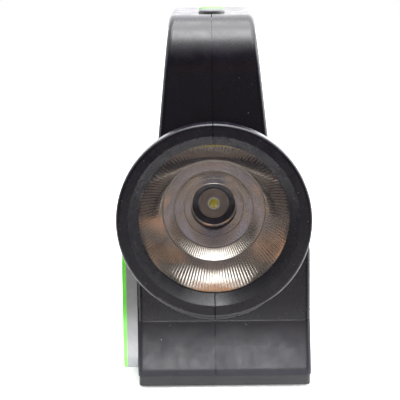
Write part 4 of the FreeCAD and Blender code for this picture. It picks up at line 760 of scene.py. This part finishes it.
class Surroundings(Nodes):
    """The world's light by direction; left and right are the lamp's -X and +X sides."""

    def __init__(self, tree):
        super().__init__(tree)
        direction = self.node("ShaderNodeSeparateXYZ")
        self.join(self.node("ShaderNodeTexCoord").outputs["Generated"], direction.inputs[0])
        self.x, y, self.z = direction.outputs
        self.forward = self.math("MULTIPLY", y, -1.0)

    def within(self, value, low, high, soft):
        """1 while value is between low and high, with soft edges."""
        above = self.step(value, low - soft, low + soft)
        below = self.math("SUBTRACT", 1.0, self.step(value, high - soft, high + soft))
        return self.math("MULTIPLY", above, below)

    def window(self, x_range, z_range, soft):
        """1 inside a rectangle seen towards -Y; x_range and z_range are slopes x/-y and z/-y."""
        forward = self.math("MAXIMUM", self.forward, LEAST_FORWARD)
        mask = self.step(self.forward, *FORWARD_EDGE)
        for value, slopes in ((self.x, x_range), (self.z, z_range)):
            slope = self.math("DIVIDE", value, forward)
            mask = self.math("MULTIPLY", mask, self.within(slope, *slopes, soft))
        return mask

    def light(self):
        """Pale walls at the sides and back, a dim warm room with patches in front, a bright ceiling."""
        room = self.mix(self.step(self.z, *LOW_TO_HIGH), ROOM_LOW, ROOM_HIGH)
        walls = self.mix(self.step(self.x, *LEFT_TO_RIGHT), SURROUND_LEFT, SURROUND_RIGHT)
        color = self.mix(self.step(self.forward, *TURN_TO_ROOM), walls, room)
        for x_range, z_range, soft, light in WINDOWS:
            color = self.mix(self.window(x_range, z_range, soft), color, light)
        color = self.mix(self.step(self.z, *OVERHEAD_EDGE), color, OVERHEAD)
        return self.mix(self.step(self.z, *ZENITH_EDGE), color, ZENITH)


def build_world():
    """Surroundings that light the lamp and are reflected in it, behind a plain white backdrop."""
    world = bpy.data.worlds.new("studio")
    bpy.context.scene.world = world
    world.use_nodes = True
    world.node_tree.nodes.clear()
    surroundings = Surroundings(world.node_tree)
    seen = surroundings.node("ShaderNodeLightPath").outputs["Is Camera Ray"]
    color = surroundings.mix(seen, surroundings.light(), WHITE)
    background = surroundings.node("ShaderNodeBackground")
    surroundings.join(color, background.inputs["Color"])
    output = surroundings.node("ShaderNodeOutputWorld")
    surroundings.join(background.outputs[0], output.inputs["Surface"])


# ---------------------------------------------------------------- lights

LAMP_MIDDLE = (0, 0, 0.1)
TOE = (0, -0.080, 0.013)
LIGHTS = [
    # name, place, what it points at, width and height, power in watts, spread in degrees
    ("top_softbox", (0.10, 0.15, 1.3), LAMP_MIDDLE, (1.2, 1.0), 16.0, 180),
    ("right_softbox", (1.1, 0.25, 0.55), LAMP_MIDDLE, (0.5, 0.8), 5.0, 180),
    ("base_strip", (0, -0.130, 0.037), TOE, (0.11, 0.010), 0.022, 60),
]


def build_lights():
    """Two softboxes, and a narrow strip low in front that lights the sloping toe."""
    for name, place, target, size, power, spread in LIGHTS:
        data = bpy.data.lights.new(name, "AREA")
        data.shape = "RECTANGLE"
        data.size, data.size_y = size
        data.energy = power
        data.spread = math.radians(spread)
        lamp = bpy.data.objects.new(name, data)
        lamp.location = place
        lamp.rotation_euler = (Vector(target) - Vector(place)).to_track_quat("-Z", "Y").to_euler()
        lamp.visible_camera = False
        bpy.context.scene.collection.objects.link(lamp)


# ---------------------------------------------------------------- camera

LENS_MM, SENSOR_MM = 126.0, 36.0
DISTANCE = 0.700  # from the middle of the head's front
SIGHT_DOWN, ROLL = 11.5, -0.8  # degrees
HEAD_RIGHT, HEAD_BELOW = 0.010, 0.016  # slopes from the middle of the view to the middle of the head
NEAR_CLIP, FAR_CLIP = 0.05, 20.0


def build_camera():
    """Camera a little above the lamp, looking at the head's front; the head is just off the view's middle."""
    down = math.radians(SIGHT_DOWN)
    target = Vector((0.0, HEAD_FRONT, AXIS_HEIGHT))
    back = Vector((0.0, -math.cos(down), math.sin(down)))
    pitch = math.pi / 2 - down + math.atan(HEAD_BELOW)
    yaw = math.atan(HEAD_RIGHT)
    data = bpy.data.cameras.new("camera")
    data.lens, data.sensor_width = LENS_MM, SENSOR_MM
    data.clip_start, data.clip_end = NEAR_CLIP, FAR_CLIP
    camera = bpy.data.objects.new("camera", data)
    camera.location = target + back * DISTANCE
    facing = Matrix.Rotation(yaw, 4, "Z") @ Matrix.Rotation(pitch, 4, "X")
    camera.rotation_euler = (facing @ Matrix.Rotation(math.radians(ROLL), 4, "Z")).to_euler()
    bpy.context.scene.collection.objects.link(camera)
    bpy.context.scene.camera = camera


# ---------------------------------------------------------------- light transport

MAX_BOUNCES, GLOSSY_BOUNCES, TRANSMISSION_BOUNCES = 16, 8, 12


def set_light_transport():
    """Plain colour transform, and enough bounces for light to pass the lens and the mirror both ways."""
    scene = bpy.context.scene
    scene.view_settings.view_transform = "Standard"
    scene.cycles.max_bounces = MAX_BOUNCES
    scene.cycles.glossy_bounces = GLOSSY_BOUNCES
    scene.cycles.transmission_bounces = TRANSMISSION_BOUNCES


dress_cad_nodes()
build_reflector()
build_front_lens()
build_emitter_package()
build_phosphor()
build_dome()
build_floor()
build_world()
build_lights()
build_camera()
set_light_transport()
